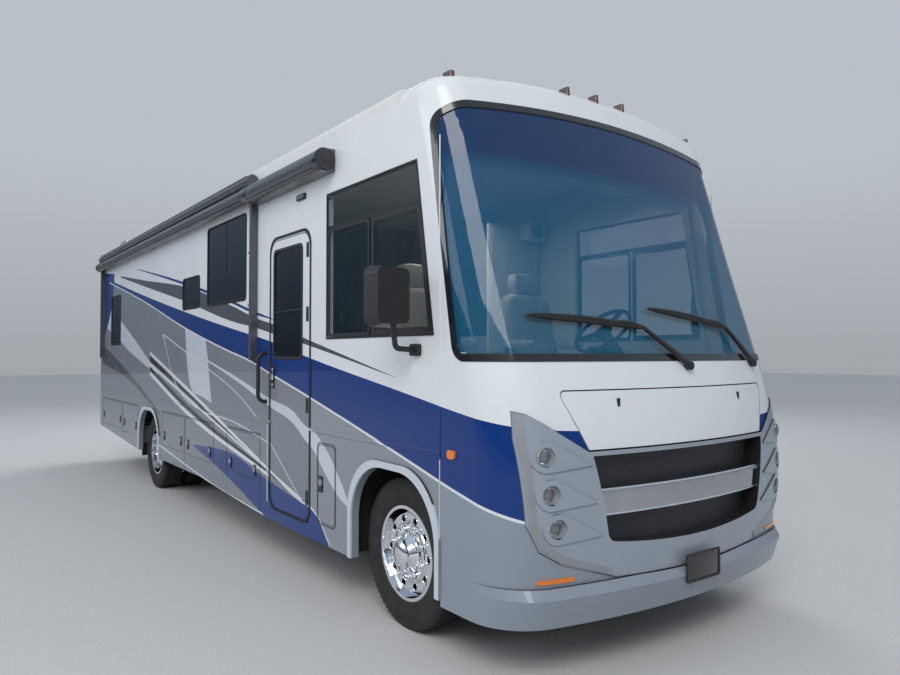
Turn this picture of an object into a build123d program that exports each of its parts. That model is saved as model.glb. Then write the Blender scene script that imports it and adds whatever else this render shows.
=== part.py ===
from build123d import *
import os
from math import atan2, cos, radians, sin, sqrt

os.makedirs("parts", exist_ok=True)

# Class A motorhome, in millimetres. +Z is up, the front looks along -Y, the curb
# side with the entry door is -X, the street side with the driver is +X.
# The origin is on the ground under the middle of the coach.

# Overall sizes
overall_length = 10300
body_width = 2565
wheelbase = 5791
front_overhang = 1290
floor_height = 1100
floor_thickness = 70
rail_height = 3198
roof_edge = 3285
roof_crown = 3375
belt_height = 1130
wall_thickness = 50
cap_wall = 30
rear_cap_depth = 120
rear_gear_depth = 80
door_gap = 7
lid_thickness = 30
running_clearance = 0.1
front_cut_start = 4500
front_cut_length = 900

half_width = body_width / 2
front_y = -overall_length / 2
rear_y = overall_length / 2
front_axle_y = front_y + front_overhang
rear_axle_y = front_axle_y + wheelbase
rear_cap_y = rear_y - rear_gear_depth
wall_rear_y = rear_cap_y - rear_cap_depth
floor_underside = floor_height - floor_thickness
inner_half = half_width - wall_thickness

# Seam between the front cap and the walls: upright, then leaning back, then round
seam_y = -4381
seam_knee_z = 1450
seam_lean_y = -4200
seam_lean_z = 2850
roof_front_y = -3962

# Skirt line under the walls, as y and z
skirt_front = 335
skirt_middle = 430
skirt_rear = 560
skirt_rise = ((-1870, skirt_front), (-160, skirt_middle), (2407, skirt_middle))

# Wheels and axles
tyre_radius = 457.5
rim_width = 205
front_track = 2140
kingpin_spread = 1860
twin_spacing = 310
rear_outer_track = 2150
hub_radius = 110
spindle_radius = 45
hub_face = 82
axle_tube_radius = 62

# Wheel arches, measured from the axle
arch_half = 480
arch_rise = 520
arch_corner = 380
arch_lip = 42
arch_lip_proud = 14

# Frame
frame_half = 432
rail_bottom = 640
rail_depth = 230
rail_flange = 80
rail_web = 10

# Entry door
door_front_y = -2720
door_width = 720
door_bottom = 440
door_top = 2600
door_corner = 110
door_window_margin_front = 132
door_window_margin_rear = 63
door_window_bottom = 1655
door_window_top = 2510

# Luggage doors under the belt
luggage_top = 1010
bay_depth = 670
bay_sheet = 20

# Windscreen, drawn in the side view
screen_bottom = 1640
screen_side_y = -4500
screen_top_y = -4255
screen_top_z = 3030
screen_brow_slope = 0.8
seal_width = 42

# Hood, grille and bumper, drawn in the front view
hood_top = 1492
hood_bottom = 1180
hood_top_half = 950
hood_bottom_half = 806
hood_skin = 18
grille_top = 1165
grille_bottom = 650
grille_half_top = 800
grille_half_bottom = 705
bar_bottom = 842
bar_top = 976
bumper_half = 690
lip_top = 505
lip_crest = 455
cap_bottom = 300

sides = (("curb", -1), ("street", 1))


def write(piece, name):
    """Label a finished piece and write it."""
    piece.part.label = name
    export_step(piece.part, f"parts/{name}.step")


# Front cap: one smooth form, drawn in by an inset for each layer of it.
# Columns: height, nose y, how far the shoulders fall back, corner radius
cap_sections = (
    (cap_bottom, -5092, 200, 340),
    (640, -5112, 200, 340),
    (hood_bottom, -5105, 190, 330),
    (screen_bottom, -5000, 190, 320),
    (2400, -4730, 160, 280),
    (3100, -4480, 120, 240),
    (3420, -4366, 105, 220),
)
brow_radius = 110


def crown_height(x, inset=0):
    """Height of the roof's arched top at x from the middle."""
    rise = roof_crown - roof_edge
    radius = (half_width**2 + rise**2) / (2 * rise)
    return roof_crown - inset - radius + sqrt(radius**2 - x**2)


def plan_outline(nose, bow, corner, inset, back):
    """Plan of the cap: bowed nose, round corners, straight sides."""
    half = half_width - inset
    shoulder = nose + bow + inset
    with BuildSketch(mode=Mode.PRIVATE) as outline:
        with BuildLine():
            Polyline((half, shoulder), (half, back), (-half, back), (-half, shoulder))
            ThreePointArc((-half, shoulder), (0, nose + inset), (half, shoulder))
        make_face()
        fillet(outline.vertices().group_by(Axis.Y)[0], corner - inset)
    return outline.sketch


def cap_body(inset):
    """Lofted form of the front cap before its top is trimmed."""
    with BuildPart() as form:
        for height, nose, bow, corner in cap_sections:
            with BuildSketch(Plane.XY.offset(height)):
                add(plan_outline(nose, bow, corner, inset, roof_front_y))
        loft()
    return form.part


def cap_form(inset):
    """The cap's form with its arched, rounded top, drawn in by inset all round."""
    roof_inset = 2 * inset
    reach = half_width + 60
    with BuildPart() as form:
        add(cap_body(inset))
        with BuildSketch(Plane.XZ.offset(-roof_front_y)):
            with BuildLine():
                edge = crown_height(reach, roof_inset)
                Polyline((-reach, edge), (-reach, 0), (reach, 0), (reach, edge))
                ThreePointArc((-reach, edge), (0, crown_height(0, roof_inset)), (reach, edge))
            make_face()
        extrude(amount=overall_length / 6, mode=Mode.INTERSECT)
        top = form.faces().sort_by(Axis.Z)[-1]
        fillet([e for e in top.edges() if e.center().Y < roof_front_y - 1], brow_radius - inset)
    return form.part


def layer(form, outer_inset, inner_inset):
    """Shell between two insets of one form."""
    outer = form(outer_inset)
    inner = form(inner_inset)
    with BuildPart() as shell_layer:
        add(outer)
        add(inner, mode=Mode.SUBTRACT)
    return shell_layer.part


def front_of_seam():
    """Side-view outline of what lies ahead of the seam."""
    with BuildSketch(mode=Mode.PRIVATE) as outline:
        with BuildLine():
            Polyline(
                (roof_front_y, rail_height),
                (roof_front_y, roof_crown + 100),
                (front_y - 100, roof_crown + 100),
                (front_y - 100, cap_bottom - 100),
                (seam_y, cap_bottom - 100),
                (seam_y, seam_knee_z),
                (seam_lean_y, seam_lean_z),
            )
            RadiusArc((seam_lean_y, seam_lean_z), (roof_front_y, rail_height), -450)
        make_face()
    return outline.sketch


def screen_outline(inset):
    """Side-view outline of the windscreen opening, drawn in by inset."""
    with BuildSketch(mode=Mode.PRIVATE) as outline:
        ahead = front_y - 200
        top_ahead = screen_top_z + screen_brow_slope * (screen_top_y - ahead)
        with BuildLine():
            Polyline(
                (screen_side_y, screen_bottom),
                (screen_top_y, screen_top_z),
                (ahead, top_ahead),
                (ahead, screen_bottom),
                close=True,
            )
        make_face()
        back_corners = outline.vertices().sort_by(Axis.X)[-2:]
        fillet(back_corners, 110)
        if inset:
            offset(amount=-inset, kind=Kind.INTERSECTION, mode=Mode.REPLACE)
    return outline.sketch


def across(outline_sketch, reach=None):
    """Extrude a side-view sketch over the whole width."""
    reach = reach or half_width + 100
    with BuildPart() as block:
        with BuildSketch(Plane.YZ.offset(-reach)):
            add(outline_sketch)
        extrude(amount=2 * reach)
    return block.part


def forward(outline_sketch):
    """Extrude a front-view sketch through the front of the cap."""
    with BuildPart() as block:
        with BuildSketch(Plane.XZ.offset(front_cut_start)):
            add(outline_sketch)
        extrude(amount=front_cut_length)
    return block.part


def hood_outline(gap):
    with BuildSketch(mode=Mode.PRIVATE) as outline:
        with BuildLine():
            Polyline(
                (-hood_bottom_half + gap, hood_bottom + gap / 2),
                (hood_bottom_half - gap, hood_bottom + gap / 2),
                (hood_top_half - gap, hood_top - gap),
                (-hood_top_half + gap, hood_top - gap),
                close=True,
            )
        make_face()
        fillet(outline.vertices().group_by(Axis.Y)[-1], 30)
    return outline.sketch


# Outline of the moulding round grille and lamps, right half, as x and z
surround_bottom = 495
surround_gap = 4
surround_points = (
    (640, 512),
    (980, 617),
    (1100, 690),
    (1160, 821),
    (1196, 1249),
    (1190, 1393),
    (1130, 1375),
    (960, 1270),
    (hood_bottom_half + 8, hood_bottom),
)


def surround_outline(gap):
    left_side = [(-x, z) for x, z in reversed(surround_points)]
    with BuildSketch(mode=Mode.PRIVATE) as outline:
        with BuildLine():
            Polyline(*surround_points, *left_side)
            ThreePointArc(left_side[-1], (0, surround_bottom), surround_points[0])
        make_face()
        if gap:
            offset(amount=-gap, kind=Kind.INTERSECTION, mode=Mode.REPLACE)
    return outline.sketch


def grille_outline(inset):
    with BuildSketch(mode=Mode.PRIVATE) as outline:
        with BuildLine():
            Polyline(
                (-grille_half_bottom + inset, grille_bottom + 45 + inset),
                (-grille_half_top + inset, grille_top - inset),
                (grille_half_top - inset, grille_top - inset),
                (grille_half_bottom - inset, grille_bottom + 45 + inset),
            )
            ThreePointArc(
                (grille_half_bottom - inset, grille_bottom + 45 + inset),
                (0, grille_bottom + inset),
                (-grille_half_bottom + inset, grille_bottom + 45 + inset),
            )
        make_face()
        fillet(outline.vertices().group_by(Axis.Y)[0], 60)
    return outline.sketch


# The bumper lip bulges forward of the cap's foot: height, nose y
lip_sections = ((cap_bottom, -5098), (lip_crest, front_y), (lip_top, -5118))


def lip_form(inset):
    with BuildPart() as form:
        for height, nose in lip_sections:
            with BuildSketch(Plane.XY.offset(height)):
                add(plan_outline(nose, 200, 340, inset, roof_front_y))
        loft(ruled=True)
    return form.part


front_seam_block = across(front_of_seam())
shell = layer(cap_form, 0, cap_wall)

with BuildPart() as lower_shell:
    add(shell)
    add(lip_form(0))
    add(lip_form(cap_wall), mode=Mode.SUBTRACT)
    add(front_seam_block, mode=Mode.INTERSECT)

with BuildPart() as bumper_cut:
    with BuildSketch(Plane.XZ.offset(front_cut_start)):
        with BuildLine():
            Polyline(
                (-bumper_half + 120, cap_bottom - 50),
                (bumper_half - 120, cap_bottom - 50),
                (bumper_half, lip_top),
                (-bumper_half, lip_top),
                close=True,
            )
        make_face()
    extrude(amount=front_cut_length)

with BuildPart() as front_cap:
    add(lower_shell.part)
    add(across(screen_outline(0)), mode=Mode.SUBTRACT)
    add(forward(hood_outline(0)), mode=Mode.SUBTRACT)
    add(forward(surround_outline(0)), mode=Mode.SUBTRACT)
    add(bumper_cut.part, mode=Mode.SUBTRACT)
write(front_cap, "front_cap")

with BuildPart() as front_bumper:
    add(lower_shell.part)
    add(bumper_cut.part, mode=Mode.INTERSECT)
    add(forward(surround_outline(0)), mode=Mode.SUBTRACT)
write(front_bumper, "front_bumper")

with BuildPart() as hood:
    add(layer(cap_form, 0, hood_skin))
    add(forward(hood_outline(door_gap)), mode=Mode.INTERSECT)
write(hood, "hood")

with BuildPart() as windscreen_seal:
    add(layer(cap_form, -3, cap_wall + 4))
    add(across(screen_outline(0)), mode=Mode.INTERSECT)
    add(across(screen_outline(seal_width)), mode=Mode.SUBTRACT)
write(windscreen_seal, "windscreen_seal")

with BuildPart() as windscreen:
    add(layer(cap_form, 6, 14))
    add(across(screen_outline(seal_width)), mode=Mode.INTERSECT)
write(windscreen, "windscreen")


def cap_front_y(x, z):
    """Place of the cap's outer face at x and height z, between its sections."""
    for low, high in zip(cap_sections, cap_sections[1:]):
        if low[0] <= z <= high[0]:
            share = (z - low[0]) / (high[0] - low[0])
            nose, bow, corner = (a + share * (b - a) for a, b in zip(low[1:], high[1:]))
            break
    radius = (half_width**2 + bow**2) / (2 * bow)
    corner_x = half_width - corner
    corner_y = nose + radius - sqrt((radius - corner) ** 2 - corner_x**2)
    if abs(x) < corner_x * radius / (radius - corner):
        return nose + radius - sqrt(radius**2 - x**2)
    return corner_y - sqrt(corner**2 - (abs(x) - corner_x) ** 2)


# Lamps from top to bottom: distance from the middle, height
lamp_places = ((1071, 1164), (1050, 974), (1013, 802))
lamp_radius = 50
lamp_depth = 70
pod_radius = 78
pod_tail = 270
pod_drop = 55
pod_proud = 16
tunnel_wall = 12
grille_recess = 98


def pod_outline(x, z, radius, tail, drop):
    """Round pod drawn out to a point towards the grille."""
    lean = atan2(drop, tail)
    reach = sqrt(tail**2 + drop**2)
    touch = atan2(sqrt(reach**2 - radius**2), radius)
    inboard = -1 if x > 0 else 1
    tip = (x + inboard * tail, z - drop)
    upper = (x + inboard * radius * cos(touch - lean), z + radius * sin(touch - lean))
    lower = (x + inboard * radius * cos(touch + lean), z - radius * sin(touch + lean))
    with BuildSketch(mode=Mode.PRIVATE) as outline:
        with BuildLine():
            Line(tip, upper)
            ThreePointArc(upper, (x - inboard * radius, z), lower)
            Line(lower, tip)
        make_face()
    return outline.sketch


def pod_blocks(radius, tail, drop):
    """All six lamp pods as blocks through the cap's front."""
    with BuildPart() as blocks:
        for x, z in lamp_places:
            for side in (-1, 1):
                add(forward(pod_outline(side * x, z, radius, tail, drop)))
    return blocks.part


pod_block = pod_blocks(pod_radius, pod_tail, pod_drop)
surround_skin = layer(cap_body, -8, cap_wall)
with BuildPart() as grille_surround:
    add(surround_skin)
    add(forward(surround_outline(surround_gap)), mode=Mode.INTERSECT)
    add(pod_block, mode=Mode.SUBTRACT)
    add(forward(grille_outline(0)), mode=Mode.SUBTRACT)
with BuildPart() as pods:
    add(layer(cap_body, -pod_proud, cap_wall + 6))
    add(pod_block, mode=Mode.INTERSECT)
    with BuildSketch(Plane.XZ.offset(front_cut_start)):
        for x, z in lamp_places:
            with Locations((x, z), (-x, z)):
                Circle(lamp_radius)
    extrude(amount=front_cut_length, mode=Mode.SUBTRACT)
with BuildPart() as grille_tunnel:
    add(layer(cap_body, -8, grille_recess + 14))
    add(forward(grille_outline(0)), mode=Mode.INTERSECT)
    add(forward(grille_outline(tunnel_wall)), mode=Mode.SUBTRACT)
with BuildPart() as surround:
    add(grille_surround.part)
    add(pods.part)
    add(grille_tunnel.part)
write(surround, "grille_surround")

# Each lamp is a round housing with a domed lens, set level with its pod
with BuildPart() as headlamps:
    for x, z in lamp_places:
        for side in (-1, 1):
            lens_y = cap_front_y(x, z) - 2
            lamp_plane = Plane(origin=(side * x, lens_y, z), x_dir=(1, 0, 0), z_dir=(0, 0, 1))
            with BuildSketch(lamp_plane):
                with BuildLine():
                    ThreePointArc((0, -12), (lamp_radius / 2, -8), (lamp_radius - 8, 0))
                    Polyline(
                        (lamp_radius - 8, 0),
                        (lamp_radius, 0),
                        (lamp_radius, lamp_depth - 30),
                        (lamp_radius - 14, lamp_depth),
                        (0, lamp_depth),
                        (0, -12),
                    )
                make_face()
            revolve(axis=Axis((side * x, lens_y, z), (0, 1, 0)))
write(headlamps, "headlamps")

# Grille: a curved plate with rows of slots above and below the bar
slot_columns = 14
slot_pitch_x = 104
slot_width = 92
slot_pitch_z = 36
slot_height = 26
bar_face_depth = 14
bar_back_depth = 44
with BuildPart() as grille:
    add(layer(cap_body, grille_recess, grille_recess + 8))
    add(forward(grille_outline(tunnel_wall)), mode=Mode.INTERSECT)
    with BuildSketch(Plane.XZ.offset(front_cut_start)):
        with Locations((0, (bar_top + grille_top) / 2)):
            with GridLocations(slot_pitch_x, slot_pitch_z, slot_columns, 4):
                Rectangle(slot_width, slot_height)
        with Locations((0, (bar_bottom + grille_bottom) / 2 + 18)):
            with GridLocations(slot_pitch_x, slot_pitch_z, slot_columns - 2, 3):
                Rectangle(slot_width, slot_height)
    extrude(amount=front_cut_length, mode=Mode.SUBTRACT)
write(grille, "grille")

with BuildPart() as grille_bar:
    add(layer(cap_body, bar_face_depth, bar_back_depth))
    add(forward(grille_outline(tunnel_wall)), mode=Mode.INTERSECT)
    with BuildSketch(Plane.XZ.offset(front_cut_start)):
        with Locations((0, (bar_bottom + bar_top) / 2)):
            Rectangle(body_width, bar_top - bar_bottom)
    extrude(amount=front_cut_length, mode=Mode.INTERSECT)
write(grille_bar, "grille_bar")


def skirt_z(y):
    """Height of the skirt's lower edge at y."""
    knots = ((seam_y, skirt_front),) + skirt_rise + ((wall_rear_y, skirt_rear),)
    for (y0, z0), (y1, z1) in zip(knots, knots[1:]):
        if y <= y1:
            return z0 + (z1 - z0) * (y - y0) / (y1 - y0)
    return skirt_rear


# Luggage doors. Columns: side, number, front edge, rear edge
luggage_doors = (
    ("curb", 1, -1780, -940),
    ("curb", 2, -590, 380),
    ("curb", 3, 396, 1310),
    ("curb", 4, 2470, 3400),
    ("curb", 5, 3416, 4800),
    ("street", 1, -2200, -900),
    ("street", 2, 330, 1310),
    ("street", 3, 2480, 3900),
)

# Windows in the walls. Columns: side, front, rear, bottom, top
windows = (
    ("curb", -1430, -348, 2160, 2940),
    ("curb", -105, 497, 2165, 2505),
    ("curb", 3577, 4217, 1820, 2550),
    ("street", -1900, -500, 1880, 2640),
    ("street", 900, 1600, 2150, 2600),
    ("street", 3000, 4100, 1880, 2600),
)
window_corner = 45
cab_window = ((-4317, 1789), (-3000, 1789), (-3000, 2812), (-4145, 2812))
glass_thickness = 8
glass_inset = 5


def plate_in_wall(side, outline_sketch, inset, thickness):
    """Plate lying in a side wall: inset from the outer face, thickness inwards."""
    with BuildPart() as plate:
        with BuildSketch(Plane.YZ.offset(side * (half_width - inset))):
            add(outline_sketch)
        extrude(amount=-side * thickness)
    return plate.part


def rounded(y0, y1, z0, z1, corner):
    with BuildSketch(mode=Mode.PRIVATE) as outline:
        with Locations(((y0 + y1) / 2, (z0 + z1) / 2)):
            RectangleRounded(y1 - y0, z1 - z0, corner)
    return outline.sketch


def square(y0, y1, z0, z1):
    with BuildSketch(mode=Mode.PRIVATE) as outline:
        with Locations(((y0 + y1) / 2, (z0 + z1) / 2)):
            Rectangle(y1 - y0, z1 - z0)
    return outline.sketch


def cab_window_outline(inset):
    with BuildSketch(mode=Mode.PRIVATE) as outline:
        with BuildLine():
            Polyline(*cab_window, close=True)
        make_face()
        fillet(outline.vertices(), window_corner)
        if inset:
            offset(amount=-inset, mode=Mode.REPLACE)
    return outline.sketch


def arch_outline(axle_y, grow):
    """Wheel arch: upright legs and a rounded head."""
    half = arch_half + grow
    top = tyre_radius + arch_rise + grow
    with BuildSketch(mode=Mode.PRIVATE) as outline:
        with BuildLine():
            Polyline(
                (axle_y - half, 0),
                (axle_y + half, 0),
                (axle_y + half, top),
                (axle_y - half, top),
                close=True,
            )
        make_face()
        fillet(outline.vertices().group_by(Axis.Y)[-1], arch_corner)
    return outline.sketch


def luggage_block(side, y0, y1, gap):
    """Block through the wall from the ground to the head of a luggage door."""
    return plate_in_wall(side, square(y0 + gap, y1 - gap, 0, luggage_top - gap), -50, 200)


def entry_outline(gap):
    with BuildSketch(mode=Mode.PRIVATE) as outline:
        with Locations((door_front_y + door_width / 2, (door_bottom + door_top) / 2)):
            Rectangle(door_width - 2 * gap, door_top - door_bottom - 2 * gap)
        fillet(outline.vertices().group_by(Axis.Y)[-1], door_corner - gap)
    return outline.sketch


def wall_outline():
    knots = [(seam_y, skirt_front), *skirt_rise, (wall_rear_y, skirt_rear)]
    with BuildSketch(mode=Mode.PRIVATE) as outline:
        with BuildLine():
            Polyline(
                (seam_lean_y, seam_lean_z),
                (seam_y, seam_knee_z),
                *knots,
                (wall_rear_y, rail_height),
                (roof_front_y, rail_height),
            )
            RadiusArc((seam_lean_y, seam_lean_z), (roof_front_y, rail_height), -450)
        make_face()
    return outline.sketch


for side_name, side in sides:
    with BuildPart() as side_wall:
        add(plate_in_wall(side, wall_outline(), 0, wall_thickness))
        for axle_y in (front_axle_y, rear_axle_y):
            lip = plate_in_wall(side, arch_outline(axle_y, arch_lip), -arch_lip_proud, wall_thickness)
            with BuildPart() as trimmed:
                add(lip)
                lipped = plate_in_wall(side, wall_outline(), -arch_lip_proud, wall_thickness)
                add(lipped, mode=Mode.INTERSECT)
            add(trimmed.part)
            add(plate_in_wall(side, arch_outline(axle_y, 0), -100, 300), mode=Mode.SUBTRACT)
        belt_band = rounded(seam_y, wall_rear_y, belt_height - 12, belt_height + 12, 4)
        add(plate_in_wall(side, belt_band, -6, 20))
        add(plate_in_wall(side, cab_window_outline(0), -50, 200), mode=Mode.SUBTRACT)
        for where, y0, y1, z0, z1 in windows:
            if where == side_name:
                opening = rounded(y0, y1, z0, z1, window_corner)
                add(plate_in_wall(side, opening, -50, 200), mode=Mode.SUBTRACT)
        for where, number, y0, y1 in luggage_doors:
            if where == side_name:
                add(luggage_block(side, y0, y1, 0), mode=Mode.SUBTRACT)
        if side_name == "curb":
            add(plate_in_wall(side, entry_outline(0), -50, 200), mode=Mode.SUBTRACT)
    write(side_wall, f"side_wall_{side_name}")

    with BuildPart() as panes:
        add(plate_in_wall(side, cab_window_outline(0), glass_inset, glass_thickness))
        for where, y0, y1, z0, z1 in windows:
            if where == side_name:
                opening = rounded(y0, y1, z0, z1, window_corner)
                add(plate_in_wall(side, opening, glass_inset, glass_thickness))
    write(panes, f"side_windows_{side_name}")

for side_name, number, y0, y1 in luggage_doors:
    side = dict(sides)[side_name]
    with BuildPart() as luggage_door:
        add(plate_in_wall(side, wall_outline(), 0, lid_thickness))
        add(luggage_block(side, y0, y1, door_gap), mode=Mode.INTERSECT)
    write(luggage_door, f"luggage_door_{side_name}_{number}")

with BuildPart() as entry_door:
    add(plate_in_wall(-1, entry_outline(door_gap), 0, wall_thickness))
    door_window = rounded(
        door_front_y + door_window_margin_front,
        door_front_y + door_width - door_window_margin_rear,
        door_window_bottom,
        door_window_top,
        window_corner,
    )
    add(plate_in_wall(-1, door_window, -50, 200), mode=Mode.SUBTRACT)
write(entry_door, "entry_door")

with BuildPart() as entry_door_window:
    add(plate_in_wall(-1, door_window, glass_inset, glass_thickness))
write(entry_door_window, "entry_door_window")

# Roof: an arched slab on the walls, behind the seam
with BuildPart() as roof:
    with BuildSketch(Plane.XZ.offset(-roof_front_y)):
        with BuildLine():
            edge = crown_height(half_width)
            base = (
                (-half_width, edge), (-half_width, rail_height), (half_width, rail_height), (half_width, edge),
            )
            Polyline(*base)
            ThreePointArc((-half_width, edge), (0, crown_height(0)), (half_width, edge))
        make_face()
    extrude(amount=-(wall_rear_y - roof_front_y))
    long_edges = roof.edges().filter_by(Axis.Y).group_by(Axis.Z)[-1]
    fillet(long_edges.filter_by(lambda e: abs(e.center().X) > 100), 40)
write(roof, "roof")

# Rear cap: a shallow pan with round corners that closes the back
rear_corner = 90
with BuildPart() as rear_cap:
    with BuildSketch(Plane.XZ.offset(-wall_rear_y)):
        with BuildLine():
            edge = crown_height(half_width)
            base = (
                (-half_width, edge), (-half_width, skirt_rear), (half_width, skirt_rear), (half_width, edge),
            )
            Polyline(*base)
            ThreePointArc((-half_width, edge), (0, crown_height(0)), (half_width, edge))
        make_face()
    extrude(amount=-rear_cap_depth)
    rear_face = rear_cap.faces().sort_by(Axis.Y)[-1]
    fillet(rear_face.edges(), rear_corner)
    hollow = rear_cap_depth - wall_thickness
    with BuildSketch(Plane.XZ.offset(-wall_rear_y)):
        with Locations((0, (skirt_rear + rail_height) / 2)):
            Rectangle(2 * inner_half - 60, rail_height - skirt_rear - 60)
    extrude(amount=-hollow, mode=Mode.SUBTRACT)
write(rear_cap, "rear_cap")

# Floor with a notch over the entry steps
floor_front_y = -4600
step_inner_x = -700
step_margin = 30
with BuildPart() as floor:
    with BuildSketch(Plane.XY.offset(floor_underside)):
        with Locations((0, (floor_front_y + wall_rear_y) / 2)):
            Rectangle(2 * inner_half, wall_rear_y - floor_front_y)
        with Locations(((-inner_half + step_inner_x) / 2, door_front_y + door_width / 2)):
            Rectangle(step_inner_x + inner_half, door_width + 2 * step_margin, mode=Mode.SUBTRACT)
    extrude(amount=floor_thickness)
write(floor, "floor")

# Entry steps: three treads folded from sheet between two cheeks
tread_count = 3
step_sheet = 20
step_rise = (floor_height - door_bottom) / (tread_count + 0.4)
step_run = (step_inner_x + inner_half) / tread_count
with BuildPart() as entry_steps:
    with BuildSketch(Plane.XZ.offset(-(door_front_y - step_margin))):
        with BuildLine():
            corners = [(-inner_half, door_bottom)]
            for tread in range(tread_count):
                x_end = -inner_half + (tread + 1) * step_run
                corners.append((x_end, door_bottom + tread * step_rise))
                corners.append((x_end, door_bottom + (tread + 1) * step_rise))
            corners[-1] = (step_inner_x, floor_underside)
            under = [(x + step_sheet if i else x, z - step_sheet) for i, (x, z) in enumerate(corners)]
            under[-1] = (step_inner_x + step_sheet, floor_underside)
            Polyline(*corners, *reversed(under), close=True)
        make_face()
    extrude(amount=-(door_width + 2 * step_margin))
    for cheek_y in (door_front_y - step_margin, door_front_y + door_width + step_margin - step_sheet):
        with BuildSketch(Plane.XZ.offset(-cheek_y)):
            with BuildLine():
                Polyline(
                    *under,
                    (-inner_half, floor_underside),
                    close=True,
                )
            make_face()
        extrude(amount=-step_sheet)
write(entry_steps, "entry_steps")

# Storage bays behind the luggage doors: folded trays hung from the floor
for side_name, side in sides:
    with BuildPart() as bays:
        for where, number, y0, y1 in luggage_doors:
            if where == side_name:
                bay_floor = max(skirt_z(y0), skirt_z(y1)) + 30
                middle = (y0 + y1) / 2
                depth_middle = side * (inner_half - bay_depth / 2)
                height = floor_underside - bay_floor
                with Locations((depth_middle, middle, bay_floor + height / 2)):
                    Box(bay_depth, y1 - y0 + 12, height)
                hollow_middle = (depth_middle + side * bay_sheet, middle, bay_floor + height / 2 + bay_sheet)
                with Locations(hollow_middle):
                    Box(bay_depth, y1 - y0 + 12 - 2 * bay_sheet, height, mode=Mode.SUBTRACT)
    write(bays, f"storage_bays_{side_name}")


# Frame: two channels, cross members, body risers and the hitch
frame_front_y = -4830
frame_rear_y = 4900
riser_width = 60
cross_y = (-4790, -3400, -2300, -900, 600, 1350, 2600, 3700, 4700)
cross_size = 60
receiver_outer = 63.5
receiver_bore = 51
receiver_length = 280
receiver_z = 500
hitch_pin_radius = 8
with BuildPart() as chassis_frame:
    for side in (-1, 1):
        with BuildSketch(Plane.XZ.offset(-frame_front_y)):
            with Locations((side * (frame_half - rail_flange / 2), rail_bottom + rail_depth / 2)):
                Rectangle(rail_flange, rail_depth)
            with Locations((side * (frame_half - rail_web - rail_flange / 2), rail_bottom + rail_depth / 2)):
                Rectangle(rail_flange, rail_depth - 2 * rail_web, mode=Mode.SUBTRACT)
        extrude(amount=-(frame_rear_y - frame_front_y))
        riser_x = side * (frame_half - riser_width / 2)
        riser_middle = (floor_front_y + wall_rear_y) / 2
        with Locations((riser_x, riser_middle, (rail_bottom + rail_depth + floor_underside) / 2)):
            Box(riser_width, wall_rear_y - floor_front_y, floor_underside - rail_bottom - rail_depth)
    for y in cross_y:
        with Locations((0, y, rail_bottom + cross_size / 2)):
            Box(2 * (frame_half - rail_web), cross_size, cross_size)
    receiver_rear = rear_y - 30
    with Locations((0, receiver_rear - receiver_length / 2, receiver_z)):
        Box(receiver_outer, receiver_length, receiver_outer)
        Box(receiver_bore, receiver_length, receiver_bore, mode=Mode.SUBTRACT)
    hitch_beam_y = receiver_rear - receiver_length + 30
    with Locations((0, hitch_beam_y, receiver_z + receiver_outer / 2 + 30)):
        Box(2 * frame_half, 60, 60)
    for side in (-1, 1):
        with Locations((side * (frame_half - 6), hitch_beam_y, (receiver_z + rail_bottom) / 2 + 50)):
            Box(12, 100, rail_bottom - receiver_z + 60)
    with BuildSketch(Plane.YZ.offset(-receiver_outer)):
        with Locations((receiver_rear - 75, receiver_z)):
            Circle(hitch_pin_radius)
    extrude(amount=2 * receiver_outer, mode=Mode.SUBTRACT)
write(chassis_frame, "chassis_frame")

# Engine between the rails, with its fan shroud and radiator ahead of it
engine_y = -4350
engine_length = 660
engine_chamfer = 60
shroud_y = -4720
shroud_size = (420, 100, 240)
radiator_y = -4790
radiator_thickness = 60
radiator_rise = 60
engine_room = floor_underside - rail_bottom - cross_size
engine_middle_z = (rail_bottom + cross_size + floor_underside) / 2
rail_clear_width = 2 * (frame_half - rail_flange)
with BuildPart() as engine_block:
    with Locations((0, engine_y, engine_middle_z)):
        Box(rail_clear_width - 20, engine_length, engine_room - 10)
    chamfer(engine_block.edges().filter_by(Axis.Y), engine_chamfer)
    with Locations((0, shroud_y, engine_middle_z)):
        Box(*shroud_size)
    with Locations((0, radiator_y, engine_middle_z + radiator_rise / 2)):
        Box(rail_clear_width - 8, radiator_thickness, engine_room + radiator_rise)
write(engine_block, "engine_block")

# Axles on leaf springs
spring_width = 75
spring_x = frame_half - 42
spring_length = 1250
spring_thickness = 45
kingpin_x = kingpin_spread / 2
kingpin_radius = 20
eye_radius = 42
eye_height = 110
ear_thickness = 28
ear_gap = 2
web_gap = 6
web_thickness = 34
beam_width = 80
beam_height = 84


def leaf_springs(axle_y, seat_z):
    """Pair of bowed springs from hanger to hanger, resting on the axle."""
    front, rear = axle_y - spring_length / 2, axle_y + spring_length / 2
    tip = rail_bottom - 14
    with BuildPart() as springs:
        for side in (-1, 1):
            with BuildSketch(Plane.YZ.offset(side * spring_x - spring_width / 2)):
                with BuildLine():
                    crest = (axle_y, seat_z + spring_thickness)
                    ThreePointArc((front, rail_bottom), crest, (rear, rail_bottom))
                    Line((rear, rail_bottom), (rear, tip))
                    ThreePointArc((rear, tip), (axle_y, seat_z), (front, tip))
                    Line((front, tip), (front, rail_bottom))
                make_face()
            extrude(amount=spring_width)
    return springs.part


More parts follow.
